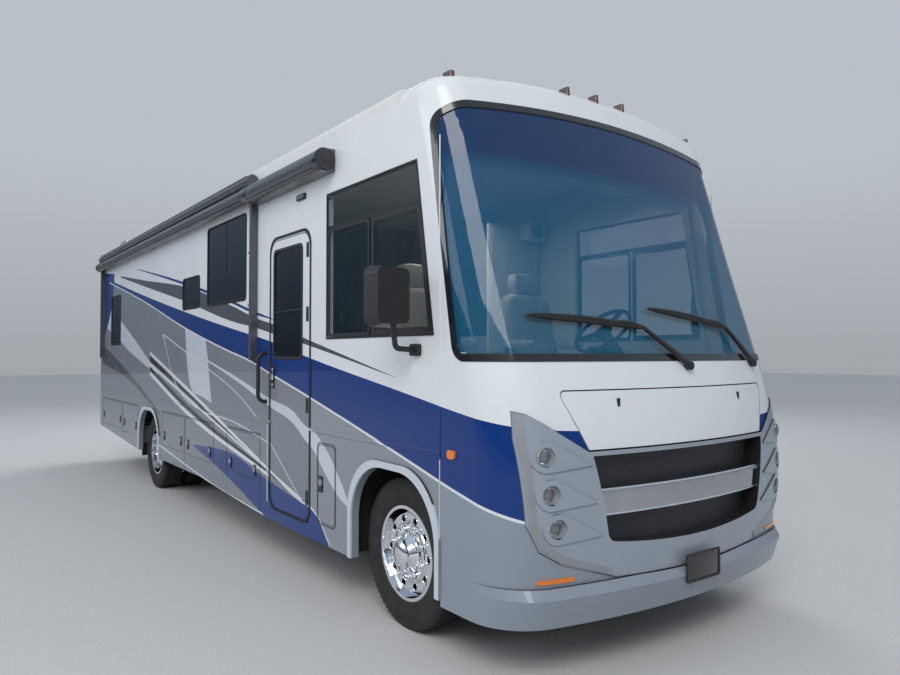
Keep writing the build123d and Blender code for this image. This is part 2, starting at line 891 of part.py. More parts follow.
with BuildPart() as front_axle:
    with Locations((0, front_axle_y, tyre_radius - 10)):
        Box(2 * (kingpin_x - 20), beam_width, beam_height)
    with BuildSketch(Plane.XY.offset(tyre_radius - eye_height / 2)):
        with Locations((-kingpin_x, front_axle_y), (kingpin_x, front_axle_y)):
            Circle(eye_radius)
    extrude(amount=eye_height)
    with BuildSketch(Plane.XY.offset(tyre_radius - eye_height)):
        with Locations((-kingpin_x, front_axle_y), (kingpin_x, front_axle_y)):
            Circle(kingpin_radius + running_clearance)
    extrude(amount=2 * eye_height, mode=Mode.SUBTRACT)
    add(leaf_springs(front_axle_y, tyre_radius - 16 + beam_height / 2))
write(front_axle, "front_axle")

rear_hub_x = rear_outer_track / 2 - twin_spacing / 2
with BuildPart() as rear_axle:
    with BuildSketch(Plane.YZ.offset(-(rear_hub_x - 60))):
        with Locations((rear_axle_y, tyre_radius)):
            Circle(axle_tube_radius)
    extrude(amount=2 * (rear_hub_x - 60))
    with BuildSketch(Plane.YZ.offset(-(rear_hub_x + 70))):
        with Locations((rear_axle_y, tyre_radius)):
            Circle(spindle_radius)
    extrude(amount=2 * (rear_hub_x + 70))
    with Locations((0, rear_axle_y, tyre_radius)):
        Sphere(190)
    add(leaf_springs(rear_axle_y, tyre_radius + axle_tube_radius - 4))
    with BuildSketch(Plane.XZ.offset(-(rear_axle_y - 150))):
        with Locations((0, tyre_radius + 60)):
            Circle(45)
    extrude(amount=500)
write(rear_axle, "rear_axle")

for side_name, side in sides:
    with BuildPart() as knuckle:
        low_ear = tyre_radius - eye_height / 2 - ear_gap - ear_thickness
        high_ear = tyre_radius + eye_height / 2 + ear_gap
        web_x = kingpin_x + eye_radius + web_gap
        for ear_z in (low_ear, high_ear):
            with BuildSketch(Plane.XY.offset(ear_z)):
                with Locations((side * kingpin_x, front_axle_y)):
                    Circle(eye_radius)
                with Locations((side * (kingpin_x + web_x + web_thickness) / 2, front_axle_y)):
                    Rectangle(web_x + web_thickness - kingpin_x, 2 * eye_radius)
            extrude(amount=ear_thickness)
        with BuildSketch(Plane.XY.offset(low_ear)):
            with Locations((side * kingpin_x, front_axle_y)):
                Circle(kingpin_radius)
        extrude(amount=high_ear + ear_thickness - low_ear)
        with Locations((side * (web_x + web_thickness / 2), front_axle_y, tyre_radius)):
            Box(web_thickness, 2 * eye_radius, high_ear + ear_thickness - low_ear)
        with BuildSketch(Plane.YZ.offset(side * (web_x + web_thickness / 2))):
            with Locations((front_axle_y, tyre_radius)):
                Circle(spindle_radius)
        extrude(amount=side * (front_track / 2 + hub_face - web_x))
    write(knuckle, f"knuckle_{side_name}")


# Tyre half section: distance from the wheel's middle plane, radius
bead_radius = 280
tyre_section = (
    (97, bead_radius), (97, 290), (112, 314), (122.5, 365), (118, 415), (104, 446), (84, tyre_radius),
)
barrel_wall = 12
flange_lip = 288
disc_thickness = 12
hand_holes = 10
hand_hole_radius = 22
hand_hole_circle = 205


def tyre(centre_x, axle_y):
    centre = (centre_x, axle_y, tyre_radius)
    mirrored = [(-u, r) for u, r in reversed(tyre_section)]
    with BuildPart() as one_tyre:
        with BuildSketch(Plane(origin=centre, x_dir=(1, 0, 0), z_dir=(0, -1, 0))):
            with BuildLine():
                Polyline(*tyre_section, *mirrored, close=True)
            make_face()
        revolve(axis=Axis(centre, (1, 0, 0)))
    return one_tyre.part


def rim(centre_x, axle_y, outward, disc_at, hub_from, hub_to):
    """Rim barrel with a coned disc and a hub; distances run outward from the wheel's middle."""
    edge = rim_width / 2
    seat = edge - 5.5
    inner = bead_radius - barrel_wall
    cone = 60 if disc_at > 0 else -60
    shoulder = hand_hole_circle + 30
    hub_bore = spindle_radius + running_clearance
    centre = (centre_x, axle_y, tyre_radius)
    with BuildPart() as one_rim:
        with BuildSketch(Plane(origin=centre, x_dir=(outward, 0, 0), z_dir=(0, -outward, 0))):
            with BuildLine():
                Polyline(
                    (-edge, flange_lip),
                    (-edge, inner),
                    (edge, inner),
                    (edge, flange_lip),
                    (seat, flange_lip),
                    (seat, bead_radius),
                    (-seat, bead_radius),
                    (-seat, flange_lip),
                    close=True,
                )
            make_face()
            with BuildLine():
                Polyline(
                    (disc_at - cone, inner + 1),
                    (disc_at, shoulder),
                    (disc_at, hub_radius - 5),
                    (disc_at - disc_thickness, hub_radius - 5),
                    (disc_at - disc_thickness, shoulder - 4),
                    (disc_at - cone - disc_thickness - 6, inner + 1),
                    close=True,
                )
            make_face()
            with BuildLine():
                Polyline(
                    (hub_from, hub_bore),
                    (hub_from, hub_radius),
                    (hub_to - 30, hub_radius),
                    (hub_to, hub_radius - 30),
                    (hub_to, hub_bore),
                    close=True,
                )
            make_face()
        revolve(axis=Axis(centre, (1, 0, 0)))
        with BuildSketch(Plane.YZ.offset(centre_x + outward * (disc_at - 60))):
            with Locations((axle_y, tyre_radius)):
                with PolarLocations(hand_hole_circle, hand_holes):
                    Circle(hand_hole_radius)
        extrude(amount=outward * 120, mode=Mode.SUBTRACT)
    return one_rim.part


for side_name, side in sides:
    front_x = side * front_track / 2
    outer_x = side * rear_outer_track / 2
    inner_x = side * (rear_outer_track / 2 - twin_spacing)
    with BuildPart() as front_tyre:
        add(tyre(front_x, front_axle_y))
    write(front_tyre, f"front_tyre_{side_name}")
    with BuildPart() as front_rim:
        add(rim(front_x, front_axle_y, side, 72, -20, hub_face + 36))
    write(front_rim, f"front_rim_{side_name}")
    with BuildPart() as rear_tyres:
        add(tyre(outer_x, rear_axle_y))
        add(tyre(inner_x, rear_axle_y))
    write(rear_tyres, f"rear_tyres_{side_name}")
    reach = twin_spacing / 2
    with BuildPart() as rear_rims:
        add(rim(outer_x, rear_axle_y, side, disc_thickness - reach, -reach - 50, 100 - reach))
        add(rim(inner_x, rear_axle_y, side, reach, reach - 50, reach + 60))
    write(rear_rims, f"rear_rims_{side_name}")

# Mirrors: a tall head on a bent arm from a foot under the cab window
mirror_inner_x = 1380
mirror_width = 240
mirror_depth = 125
mirror_bottom = 1830
mirror_height = 345
mirror_y = -4185
mirror_foot_y = -4150
mirror_foot_z = 1704
arm_radius = 16
with BuildPart() as mirrors:
    for side in (-1, 1):
        head_x = side * (mirror_inner_x + mirror_width / 2)
        with BuildSketch(Plane.XZ.offset(-(mirror_y + mirror_depth / 2))):
            with Locations((head_x, mirror_bottom + mirror_height / 2)):
                RectangleRounded(mirror_width, mirror_height, 55)
        extrude(amount=mirror_depth, taper=8)
        with BuildSketch(Plane.YZ.offset(side * half_width)):
            with Locations((mirror_foot_y, mirror_foot_z)):
                RectangleRounded(90, 70, 15)
        extrude(amount=side * 26)
        with BuildLine():
            FilletPolyline(
                (side * (half_width + 20), mirror_foot_y, mirror_foot_z),
                (side * (mirror_inner_x + 50), mirror_foot_y, mirror_foot_z + 8),
                (side * (mirror_inner_x + 90), mirror_y, mirror_bottom + 40),
                radius=40,
            )
        with BuildSketch(Plane.YZ.offset(side * (half_width + 20))):
            with Locations((mirror_foot_y, mirror_foot_z)):
                Circle(arm_radius)
        sweep()
write(mirrors, "mirrors")

# Awnings: a long roller and its cover along the curb wall, a short one over the door
roller_radius = 62
roller_z = 3045
roller_x = -(half_width + 8 + roller_radius)
cover_radius = 46
cover_z = 3172
awning_front_y = -1650
awning_rear_y = 4710
door_awning_front_y = -3120
door_awning_radius = 78
door_awning_z = 3030
arm_depth = 60
arm_bottom = 1630
head_radius = 68
head_width = 46
with BuildPart() as awnings:
    with BuildSketch(Plane.XZ.offset(-awning_front_y)):
        with Locations((roller_x, roller_z)):
            Circle(roller_radius)
    extrude(amount=-(awning_rear_y - awning_front_y))
    with BuildSketch(Plane.XZ.offset(-awning_front_y)):
        with Locations((-half_width - cover_radius, cover_z)):
            Circle(cover_radius)
        with Locations((-half_width - cover_radius / 2, cover_z)):
            Rectangle(cover_radius, 2 * cover_radius)
    extrude(amount=-(awning_rear_y - awning_front_y))
    with BuildSketch(Plane.XZ.offset(-door_awning_front_y)):
        with Locations((-half_width - door_awning_radius, door_awning_z)):
            Circle(door_awning_radius)
        with Locations((-half_width - door_awning_radius / 2, door_awning_z)):
            Rectangle(door_awning_radius, 2 * door_awning_radius)
    extrude(amount=-(awning_front_y - head_width - 40 - door_awning_front_y))
    for end_y, step in ((awning_front_y, -1), (awning_rear_y, 1)):
        post_y = end_y + step * head_width / 2
        with Locations((-half_width - arm_depth / 2, post_y, (arm_bottom + roller_z) / 2)):
            Box(arm_depth, head_width, roller_z - arm_bottom)
        with BuildSketch(Plane.XZ.offset(-end_y)):
            with Locations((roller_x, roller_z)):
                Circle(head_radius)
            with Locations((-half_width - cover_radius, cover_z)):
                Circle(cover_radius)
            with Locations((-half_width - 40, (roller_z + cover_z) / 2)):
                Rectangle(80, cover_z - roller_z)
        extrude(amount=-step * head_width)
write(awnings, "awnings")

# Roof equipment: two air conditioners, vents and an aerial foot, seated on the arched roof
# Columns: y, width, length, height, side slope, corner radius
roof_units = (
    (-2050, 760, 980, 270, 14, 120),
    (2350, 760, 980, 270, 14, 120),
    (-400, 420, 420, 130, 10, 50),
    (900, 420, 420, 130, 10, 50),
    (4000, 420, 420, 130, 10, 50),
)


def roof_box(y, width, length, height, taper, corner):
    """Tapered housing that sits on the arched roof."""
    with BuildPart() as housing:
        with BuildSketch(Plane.XY.offset(roof_crown - 40)):
            with Locations((0, y)):
                RectangleRounded(width, length, corner)
        extrude(amount=height + 40, taper=taper)
        fillet(housing.faces().sort_by(Axis.Z)[-1].edges(), height / 5)
        add(roof.part, mode=Mode.SUBTRACT)
    return housing.part


with BuildPart() as roof_equipment:
    for y, width, length, height, taper, corner in roof_units:
        add(roof_box(y, width, length, height, taper, corner))
write(roof_equipment, "roof_equipment")

# Marker lamps: five on the brow, one at each corner of the bumper, one on each side of the cap
brow_lamp_places = ((0, -4340), (-264, -4335), (264, -4335), (-1120, -4235), (1120, -4235))
with BuildPart() as brow_lamps:
    for x, y in brow_lamp_places:
        with BuildSketch(Plane.XY.offset(roof_edge - 120)):
            with Locations((x, y)):
                RectangleRounded(60, 110, 25)
        extrude(amount=crown_height(x) - roof_edge + 120 + 26, taper=4)
    add(cap_form(0), mode=Mode.SUBTRACT)


with BuildPart() as marker_lamps:
    add(layer(cap_body, -5, 0))
    with BuildSketch(Plane.XZ.offset(front_cut_start)):
        for side in (-1, 1):
            with Locations((side * 995, 536)):
                RectangleRounded(205, 24, 8)
    extrude(amount=front_cut_length, mode=Mode.INTERSECT)
    for side in (-1, 1):
        with BuildSketch(Plane.YZ.offset(side * half_width)):
            with Locations((-4490, 1140)):
                RectangleRounded(62, 48, 16)
        extrude(amount=side * 14)
    add(brow_lamps.part)
write(marker_lamps, "marker_lamps")

# Tail lamps on the rear cap
with BuildPart() as tail_lamps:
    for side in (-1, 1):
        with BuildSketch(Plane.XZ.offset(-rear_cap_y)):
            with Locations((side * 1080, 1180)):
                RectangleRounded(110, 420, 40)
            with Locations((side * 1080, 3080)):
                RectangleRounded(150, 60, 20)
        extrude(amount=-22, taper=10)
write(tail_lamps, "tail_lamps")

# Ladder up the back on the curb side
ladder_x = -780
ladder_half = 190
ladder_tube = 13
ladder_bottom = 760
ladder_top = 3520
ladder_stand = rear_gear_depth - ladder_tube
rung_count = 9
with BuildPart() as ladder:
    for rail_x in (ladder_x - ladder_half, ladder_x + ladder_half):
        rail_y = rear_cap_y + ladder_stand
        with BuildLine():
            FilletPolyline(
                (rail_x, rear_cap_y, ladder_bottom),
                (rail_x, rail_y, ladder_bottom),
                (rail_x, rail_y, ladder_top),
                (rail_x, rear_cap_y - 330, ladder_top),
                (rail_x, rear_cap_y - 330, crown_height(rail_x)),
                radius=60,
            )
        with BuildSketch(Plane.XZ.offset(-rear_cap_y)):
            with Locations((rail_x, ladder_bottom)):
                Circle(ladder_tube)
        sweep()
        for foot_z in (1650, 2550):
            with BuildSketch(Plane.XZ.offset(-rear_cap_y)):
                with Locations((rail_x, foot_z)):
                    Circle(ladder_tube)
            extrude(amount=-ladder_stand)
    for rung in range(rung_count):
        rung_z = ladder_bottom + 100 + rung * (ladder_top - ladder_bottom - 250) / (rung_count - 1)
        with BuildSketch(Plane.YZ.offset(ladder_x - ladder_half)):
            with Locations((rail_y, rung_z)):
                Circle(ladder_tube - 2)
        extrude(amount=2 * ladder_half)
    add(roof.part, mode=Mode.SUBTRACT)
write(ladder, "ladder")

# Grab handle beside the entry door
grab_y = door_front_y + door_width + 90
grab_low = 1290
grab_high = 1690
grab_stand = 75
with BuildPart() as grab_handle:
    with BuildLine():
        FilletPolyline(
            (-half_width, grab_y, grab_low),
            (-half_width - grab_stand, grab_y, grab_low),
            (-half_width - grab_stand, grab_y, grab_high),
            (-half_width, grab_y, grab_high),
            radius=60,
        )
    with BuildSketch(Plane.YZ.offset(-half_width)):
        with Locations((grab_y, grab_low)):
            Circle(arm_radius)
    sweep()
write(grab_handle, "grab_handle")

# Wipers: an arm from the cowl to the blade's heel, then the blade across the glass.
# Columns: pivot x and z, heel x and z, tip x and z
wiper_lift = 30
wiper_radius = 9
wipers_at = (
    (60, 1612, -260, 1830, -1040, 1885),
    (890, 1622, 622, 1851, -168, 1945),
)
with BuildPart() as wipers:
    for pivot_x, pivot_z, heel_x, heel_z, tip_x, tip_z in wipers_at:
        with BuildSketch(Plane.XZ.offset(-cap_front_y(pivot_x, pivot_z) - 30)):
            with Locations((pivot_x, pivot_z)):
                Circle(26)
        extrude(amount=wiper_lift + 30 + wiper_radius)
        for x0, z0, x1, z1 in ((pivot_x, pivot_z, heel_x, heel_z), (heel_x, heel_z, tip_x, tip_z)):
            middle_x, middle_z = (x0 + x1) / 2, (z0 + z1) / 2
            start = Vector(x0, cap_front_y(x0, z0) - wiper_lift, z0)
            bow = Vector(middle_x, cap_front_y(middle_x, middle_z) - wiper_lift, middle_z)
            end = Vector(x1, cap_front_y(x1, z1) - wiper_lift, z1)
            for low, high in ((start, bow), (bow, end)):
                with BuildSketch(Plane(origin=low, z_dir=high - low)):
                    Circle(wiper_radius)
                extrude(amount=(high - low).length)
                with Locations(high):
                    Sphere(wiper_radius)
    add(cap_form(0), mode=Mode.SUBTRACT)
    add(windscreen_seal.part, mode=Mode.SUBTRACT)
write(wipers, "wipers")

# Dashboard: a shelf under the windscreen, a fascia down to the floor and the raked column
wheel_centre = (520, -3960, 1850)
wheel_ring_radius = 225
wheel_grip_radius = 15
column_rake = 50
column_direction = Vector(0, -cos(radians(column_rake)), -sin(radians(column_rake)))
column_plane = Plane(origin=wheel_centre, x_dir=(1, 0, 0), z_dir=column_direction)
column_gap = 6
column_length = 420
with BuildPart() as dashboard:
    add(cap_form(cap_wall + 8))
    with BuildSketch(Plane.YZ.offset(-half_width)):
        with BuildLine():
            Polyline(
                (-4120, 1540),
                (-4300, 1585),
                (front_y, 1600),
                (front_y, 1525),
                (-4640, 1500),
                (-4640, floor_height),
                (-4560, floor_height),
                (-4500, 1300),
                (-4130, 1430),
                close=True,
            )
        make_face()
    extrude(amount=2 * half_width, mode=Mode.INTERSECT)
    with Locations((0, front_y / 2, floor_height)):
        Box(2 * (inner_half - 8), overall_length, overall_length, mode=Mode.INTERSECT)
    with BuildSketch(column_plane.offset(12 + column_gap)):
        Circle(42)
    extrude(amount=column_length)
write(dashboard, "dashboard")

# Steering wheel, turning on the end of the column
with BuildPart() as steering_wheel:
    with BuildSketch(Plane(origin=wheel_centre, x_dir=(1, 0, 0), z_dir=column_plane.y_dir)):
        with Locations((wheel_ring_radius, 0)):
            Circle(wheel_grip_radius)
    revolve(axis=Axis(wheel_centre, column_direction))
    with BuildSketch(column_plane.offset(-10)):
        Circle(70)
        with PolarLocations(wheel_ring_radius / 2, 3, start_angle=90):
            Rectangle(wheel_ring_radius, 38)
    extrude(amount=22)
write(steering_wheel, "steering_wheel")

# Front seats: cushion, back and headrest on a pedestal
seat_x = 560
seat_y = -3350
seat_width = 500
seat_height = 1560
with BuildPart() as front_seats:
    for side in (-1, 1):
        with Locations((side * seat_x, seat_y, (floor_height + seat_height - 140) / 2)):
            Box(300, 380, seat_height - 140 - floor_height)
        with BuildSketch(Plane.XY.offset(seat_height - 140)):
            with Locations((side * seat_x, seat_y)):
                RectangleRounded(seat_width, 520, 60)
        extrude(amount=140)
        with BuildSketch(Plane.YZ.offset(side * seat_x - seat_width / 2)):
            with BuildLine():
                Polyline(
                    (seat_y + 150, seat_height - 60),
                    (seat_y + 260, seat_height + 640),
                    (seat_y + 380, seat_height + 620),
                    (seat_y + 280, seat_height - 100),
                    close=True,
                )
            make_face()
        extrude(amount=seat_width)
        with BuildSketch(Plane.XY.offset(seat_height + 610)):
            with Locations((side * seat_x, seat_y + 320)):
                RectangleRounded(280, 100, 40)
        extrude(amount=190)
write(front_seats, "front_seats")

# Cabinets and furniture along the walls, with a partition at the bedroom
cabinet_depth = 600
partition_y = 1800
partition_thickness = 40
doorway_width = 620
doorway_height = 1900
with BuildPart() as interior_cabinets:
    for x, y0, y1, z0, z1, depth in (
        (-1, -1300, 900, floor_height, 2050, cabinet_depth),
        (1, -2500, -300, floor_height, 1600, cabinet_depth + 60),
        (1, -300, 900, floor_height, rail_height, cabinet_depth),
        (-1, 900, 1500, floor_height, rail_height, cabinet_depth),
    ):
        with Locations((x * (inner_half - depth / 2), (y0 + y1) / 2, (z0 + z1) / 2)):
            Box(depth, y1 - y0, z1 - z0)
    with Locations((0, partition_y, (floor_height + rail_height) / 2)):
        Box(2 * inner_half, partition_thickness, rail_height - floor_height)
    with Locations((0, partition_y, floor_height + doorway_height / 2)):
        Box(doorway_width, 2 * partition_thickness, doorway_height, mode=Mode.SUBTRACT)
write(interior_cabinets, "interior_cabinets")
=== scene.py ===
from math import copysign, cos, pi, radians, sin, tau

import bmesh
import bpy
from mathutils import Matrix, Vector


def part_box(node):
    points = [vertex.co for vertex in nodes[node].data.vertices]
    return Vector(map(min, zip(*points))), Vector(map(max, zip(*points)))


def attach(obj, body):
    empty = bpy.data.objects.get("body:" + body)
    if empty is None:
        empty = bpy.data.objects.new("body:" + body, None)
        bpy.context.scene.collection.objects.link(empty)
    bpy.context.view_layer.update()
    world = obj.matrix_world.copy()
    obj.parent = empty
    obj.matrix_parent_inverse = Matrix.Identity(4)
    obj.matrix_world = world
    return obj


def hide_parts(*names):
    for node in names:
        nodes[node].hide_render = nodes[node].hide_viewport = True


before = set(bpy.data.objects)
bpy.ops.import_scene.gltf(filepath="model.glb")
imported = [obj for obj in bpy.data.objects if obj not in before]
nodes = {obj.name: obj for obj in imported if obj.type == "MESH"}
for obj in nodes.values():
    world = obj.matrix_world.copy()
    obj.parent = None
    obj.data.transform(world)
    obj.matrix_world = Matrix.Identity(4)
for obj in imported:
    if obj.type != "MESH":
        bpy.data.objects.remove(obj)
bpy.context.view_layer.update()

# Places shared with the frame, in metres
HALF_WIDTH = 1.2825
FRONT_AXLE_Y = -3.86
REAR_AXLE_Y = 1.931
AXLE_Z = 0.4575
SEAM_Y = -4.381
CABIN_FRONT_Y, CABIN_REAR_Y = -4.1, 4.7
CABIN_FLOOR_Z, CABIN_MIDDLE_Z = 1.08, 1.9
CAP_FLOOR_RISE = 0.5
DOOR_FRONT_Y = -2.72
CAB_WINDOW_END_Y = -2.9
LIP_FROM_X, LIP_TOP_Z = 1.284, 1.1
BROW_Z = 3.0
SUN_BAND, CLEAR_GLASS = (2.72, 2.84), (1.65, 2.75)
SIDES = (("curb", -1), ("street", 1))

# Colours of the coach
WHITE = (0.73, 0.76, 0.79)
SILVER = (0.25, 0.29, 0.34)
# Painted light: a lighter copy of SILVER, standing in for the stronger light on the front of the coach
SUNLIT_SILVER = (0.3, 0.345, 0.4)
GREY = (0.2, 0.22, 0.25)
PALE_GREY = (0.55, 0.6, 0.66)
BLUE = (0.0005, 0.031, 0.185)
DARK_GREY = (0.075, 0.08, 0.095)
PIN_WHITE = (0.68, 0.72, 0.76)
NEAR_GREY = (0.25, 0.275, 0.31)
INNER = (0.4, 0.39, 0.36)
UNDERCOAT = (0.02, 0.02, 0.022)
BLACK = (0.012, 0.012, 0.014)

# Ribs of a lens and diamonds of the grille, in turns per metre
LENS_RIBS, GRILLE_DIAMONDS = 900.0, 420.0
NOWHERE = (0.0, 0.0, 0.0)
# Length and height that a stripe's curve covers
CURVE_START, CURVE_SPAN, CURVE_TOP = -5.2, 10.4, 4.0


class Nodes:
    """A node tree, made one node at a time."""

    def __init__(self, tree):
        self.tree = tree

    def put(self, socket, value):
        if isinstance(value, bpy.types.NodeSocket):
            self.tree.links.new(value, socket)
        elif socket.type == "RGBA" and len(value) == 3:
            socket.default_value = (*value, 1.0)
        else:
            socket.default_value = value

    def node(self, kind, *values, **settings):
        """New node with its settings, and its first inputs in their order."""
        node = self.tree.nodes.new(f"ShaderNode{kind}")
        for name, setting in settings.items():
            setattr(node, name, setting)
        for socket, value in zip(node.inputs, values):
            self.put(socket, value)
        return node

    def math(self, operation, first, second=0.0, third=0.0):
        return self.node("Math", first, second, third, operation=operation).outputs[0]

    def times(self, first, second):
        return self.math("MULTIPLY", first, second)

    def above(self, value, limit):
        return self.math("GREATER_THAN", value, limit)

    def below(self, value, limit):
        return self.math("LESS_THAN", value, limit)

    def mix(self, share, first, second):
        node = self.node("Mix", share, data_type="RGBA")
        self.put(node.inputs[6], first)
        self.put(node.inputs[7], second)
        return node.outputs[2]

    def spread(self, value, low, high, to_low=0.0, to_high=1.0, form="LINEAR"):
        """Take low to high onto to_low to to_high, and stop at the ends."""
        return self.node("MapRange", value, low, high, to_low, to_high, interpolation_type=form).outputs[0]

    def ramp(self, factor, stops):
        """Colours along a factor. Columns of stops: place, colour."""
        node = self.node("ValToRGB", factor)
        elements = node.color_ramp.elements
        while len(elements) < len(stops):
            elements.new(1.0)
        for element, (place, colour) in zip(elements, stops):
            element.position = place
            element.color = (*colour, 1.0)
        return node.outputs[0]


class Surface(Nodes):
    """A material with one shader."""

    def __init__(self, name):
        self.material = bpy.data.materials.new(name)
        self.material.use_nodes = True
        super().__init__(self.material.node_tree)
        self.shader = self.tree.nodes["Principled BSDF"]
        self.coordinates = self.node("TexCoord").outputs["Object"]

    def set(self, **inputs):
        for name, value in inputs.items():
            self.put(self.shader.inputs[name.replace("_", " ")], value)
        return self

    def noise(self, scale, detail=3.0, stretch=None):
        vector = self.coordinates
        if stretch:
            vector = self.node("Mapping", vector, NOWHERE, NOWHERE, stretch).outputs[0]
        return self.node("TexNoise", vector, 0.0, scale, detail).outputs[0]

    def range(self, value, low=0.0, high=1.0):
        """Spread the middle of a noise over low to high."""
        return self.spread(value, 0.3, 0.7, low, high)

    def mottled(self, grain, dark, light):
        return self.mix(self.range(grain), dark, light)

    def bump(self, height, distance, strength=0.5):
        node = self.node("Bump", strength, distance)
        self.put(node.inputs["Height"], height)
        return self.set(Normal=node.outputs[0])

    def axes(self):
        return self.node("SeparateXYZ", self.coordinates).outputs

    def inner_side(self, colour, x, y, z):
        """Lining on faces that look into the cabin, undercoat on those below its floor."""
        facing = self.node("SeparateXYZ", self.coordinates.node.outputs["Normal"]).outputs
        within = self.math("MINIMUM", self.math("MAXIMUM", y, CABIN_FRONT_Y), CABIN_REAR_Y)
        beyond = self.math("SUBTRACT", y, within)
        rise = self.math("SUBTRACT", z, CABIN_MIDDLE_Z)
        outward = self.times(x, facing["X"])
        outward = self.math("MULTIPLY_ADD", beyond, facing["Y"], outward)
        outward = self.math("MULTIPLY_ADD", rise, self.times(facing["Z"], 0.5), outward)
        floor_line = self.math("MULTIPLY_ADD", self.below(y, SEAM_Y), CAP_FLOOR_RISE, CABIN_FLOOR_Z)
        lining = self.mix(self.below(z, floor_line), INNER, UNDERCOAT)
        return self.mix(self.below(outward, -0.1), colour, lining)

    def edge(self, along, knots):
        """Height of a line over the coach's length. Columns of knots: y, height."""
        share = self.math("DIVIDE", self.math("SUBTRACT", along, CURVE_START), CURVE_SPAN)
        node = self.node("FloatCurve")
        curve = node.mapping.curves[0]
        places = [((y - CURVE_START) / CURVE_SPAN, height / CURVE_TOP) for y, height in knots]
        while len(curve.points) < len(places):
            curve.points.new(1.0, 1.0)
        for point, place in zip(curve.points, places):
            point.location = place
            point.handle_type = "AUTO_CLAMPED"
        node.mapping.update()
        self.put(node.inputs["Value"], share)
        return self.times(node.outputs[0], CURVE_TOP)

    def band(self, y, z, knots):
        """Mask of a stripe. Columns of knots: y, lower edge, upper edge."""
        low = self.edge(y, [(k[0], k[1]) for k in knots])
        high = self.edge(y, [(k[0], k[2]) for k in knots])
        inside = self.times(self.above(z, low), self.below(z, high))
        ends = self.times(self.above(y, knots[0][0]), self.below(y, knots[-1][0]))
        return self.times(inside, ends)


def plain(
    name, colour, roughness, metallic=0.0, coat=0.0, grain=300.0, depth=0.0002, mottle=0.08, stretch=None
):
    """A finish with uneven tone, uneven gloss and a fine grain."""
    surface = Surface(name)
    darker = tuple(c * (1.0 - mottle) for c in colour)
    lighter = tuple(min(1.0, c * (1.0 + mottle)) for c in colour)
    gloss = surface.range(surface.noise(3.0, 5.0), roughness * 0.85, min(1.0, roughness * 1.2))
    surface.set(Base_Color=surface.mottled(surface.noise(9.0, 4.0), darker, lighter), Roughness=gloss)
    surface.set(Metallic=metallic, Coat_Weight=coat, Coat_Roughness=0.03)
    return surface.bump(surface.noise(grain, 3.0, stretch), depth).material


# Stripes along the coach, from the front cap to the tail. Columns: y, lower edge, upper edge
BLUE_BAND = (
    (-5.15, 0.72, 1.235), (-4.98, 0.83, 1.29), (-4.381, 0.984, 1.392), (-2.73, 1.368, 1.652),
    (-2.015, 1.522, 1.781), (-1.45, 1.644, 1.864), (-1.014, 1.714, 1.926), (0.306, 1.955, 2.128),
    (2.2, 2.37, 2.44), (4.4, 2.8, 2.83),
)
LOWER_BODY = tuple((y, 0.0, low) for y, low, high in BLUE_BAND) + ((5.15, 0.0, 2.92),)
BLUE_PIN = tuple((y, low - 0.016, low) for y, low, high in BLUE_BAND)
DARK_STRIPE = (
    (-3.908, 1.54, 1.542), (-2.73, 1.741, 1.781), (-2.026, 1.85, 1.928), (-1.707, 1.9, 1.982),
    (-1.01, 1.995, 2.141), (0.3, 2.24, 2.4), (2.2, 2.56, 2.64), (3.6, 2.8, 2.82),
)
THIN_BLUE = (
    (-2.1, 1.955, 1.958), (-1.714, 2.012, 2.034), (-1.0, 2.165, 2.19), (0.6, 2.47, 2.5), (2.6, 2.82, 2.83),
)
SWOOSH = (
    (-3.32, 0.66, 0.7), (-3.234, 0.685, 0.8), (-2.954, 0.86, 1.038), (-2.78, 0.989, 1.124),
    (-2.69, 1.025, 1.139), (-2.39, 1.165, 1.255), (-2.053, 1.235, 1.306), (-1.024, 1.475, 1.507),
    (0.3, 1.735, 1.745),
)
LOW_BLUE = (
    (-3.04, 0.2, 0.362), (-2.76, 0.2, 0.55), (-2.6, 0.2, 0.568), (-1.84, 0.349, 0.66),
    (-0.93, 0.55, 0.775), (0.075, 0.72, 0.735),
)
LOW_PIN = (
    (-3.06, 0.345, 0.362), (-2.76, 0.55, 0.566), (-2.6, 0.568, 0.584), (-1.972, 0.72, 0.743),
    (-0.411, 1.11, 1.147), (1.9, 1.68, 1.72),
)
FAN = (
    ((-2.6, 0.585, 0.6), (-0.4, 1.05, 1.075), (1.9, 1.54, 1.58)),
    ((-1.97, 0.672, 0.7), (0.08, 0.985, 1.03), (1.9, 1.42, 1.47)),
    ((-2.01, 0.94, 0.948), (-1.1, 1.06, 1.07), (-0.2, 1.1, 1.112), (0.6, 1.27, 1.285), (1.3, 1.9, 1.93)),
    ((-2.6, 0.574, 0.582), (-2.014, 0.935, 0.947)),
    ((-1.84, 0.345, 0.357), (-0.81, 0.388, 0.4), (0.38, 0.485, 0.5), (1.6, 0.6, 0.62)),
    ((-1.69, 1.14, 1.15), (-1.2, 1.325, 1.334), (0.1, 1.637, 1.648), (1.3, 1.915, 1.93)),
)
FAN_DARK = (
    ((-2.3, 0.63, 0.655), (-0.4, 1.08, 1.11), (1.9, 1.6, 1.66)),
    ((-1.9, 0.705, 0.73), (0.08, 1.04, 1.09), (1.9, 1.48, 1.53)),
)
PALE_WEDGE = ((-0.5, 1.2, 1.22), (-0.1, 1.26, 2.02), (0.1, 1.28, 2.06), (0.43, 2.07, 2.1))
REAR_SWEEP = (
    ((0.9, 1.1, 1.14), (2.2, 1.62, 1.86), (3.4, 2.05, 2.4), (4.9, 2.35, 2.8)),
    ((1.4, 0.95, 0.98), (3.0, 1.32, 1.42), (4.9, 1.55, 1.85)),
)
REAR_BLUE = ((4.05, 2.76, 2.9), (4.3, 2.3, 2.92), (5.15, 1.7, 3.02))
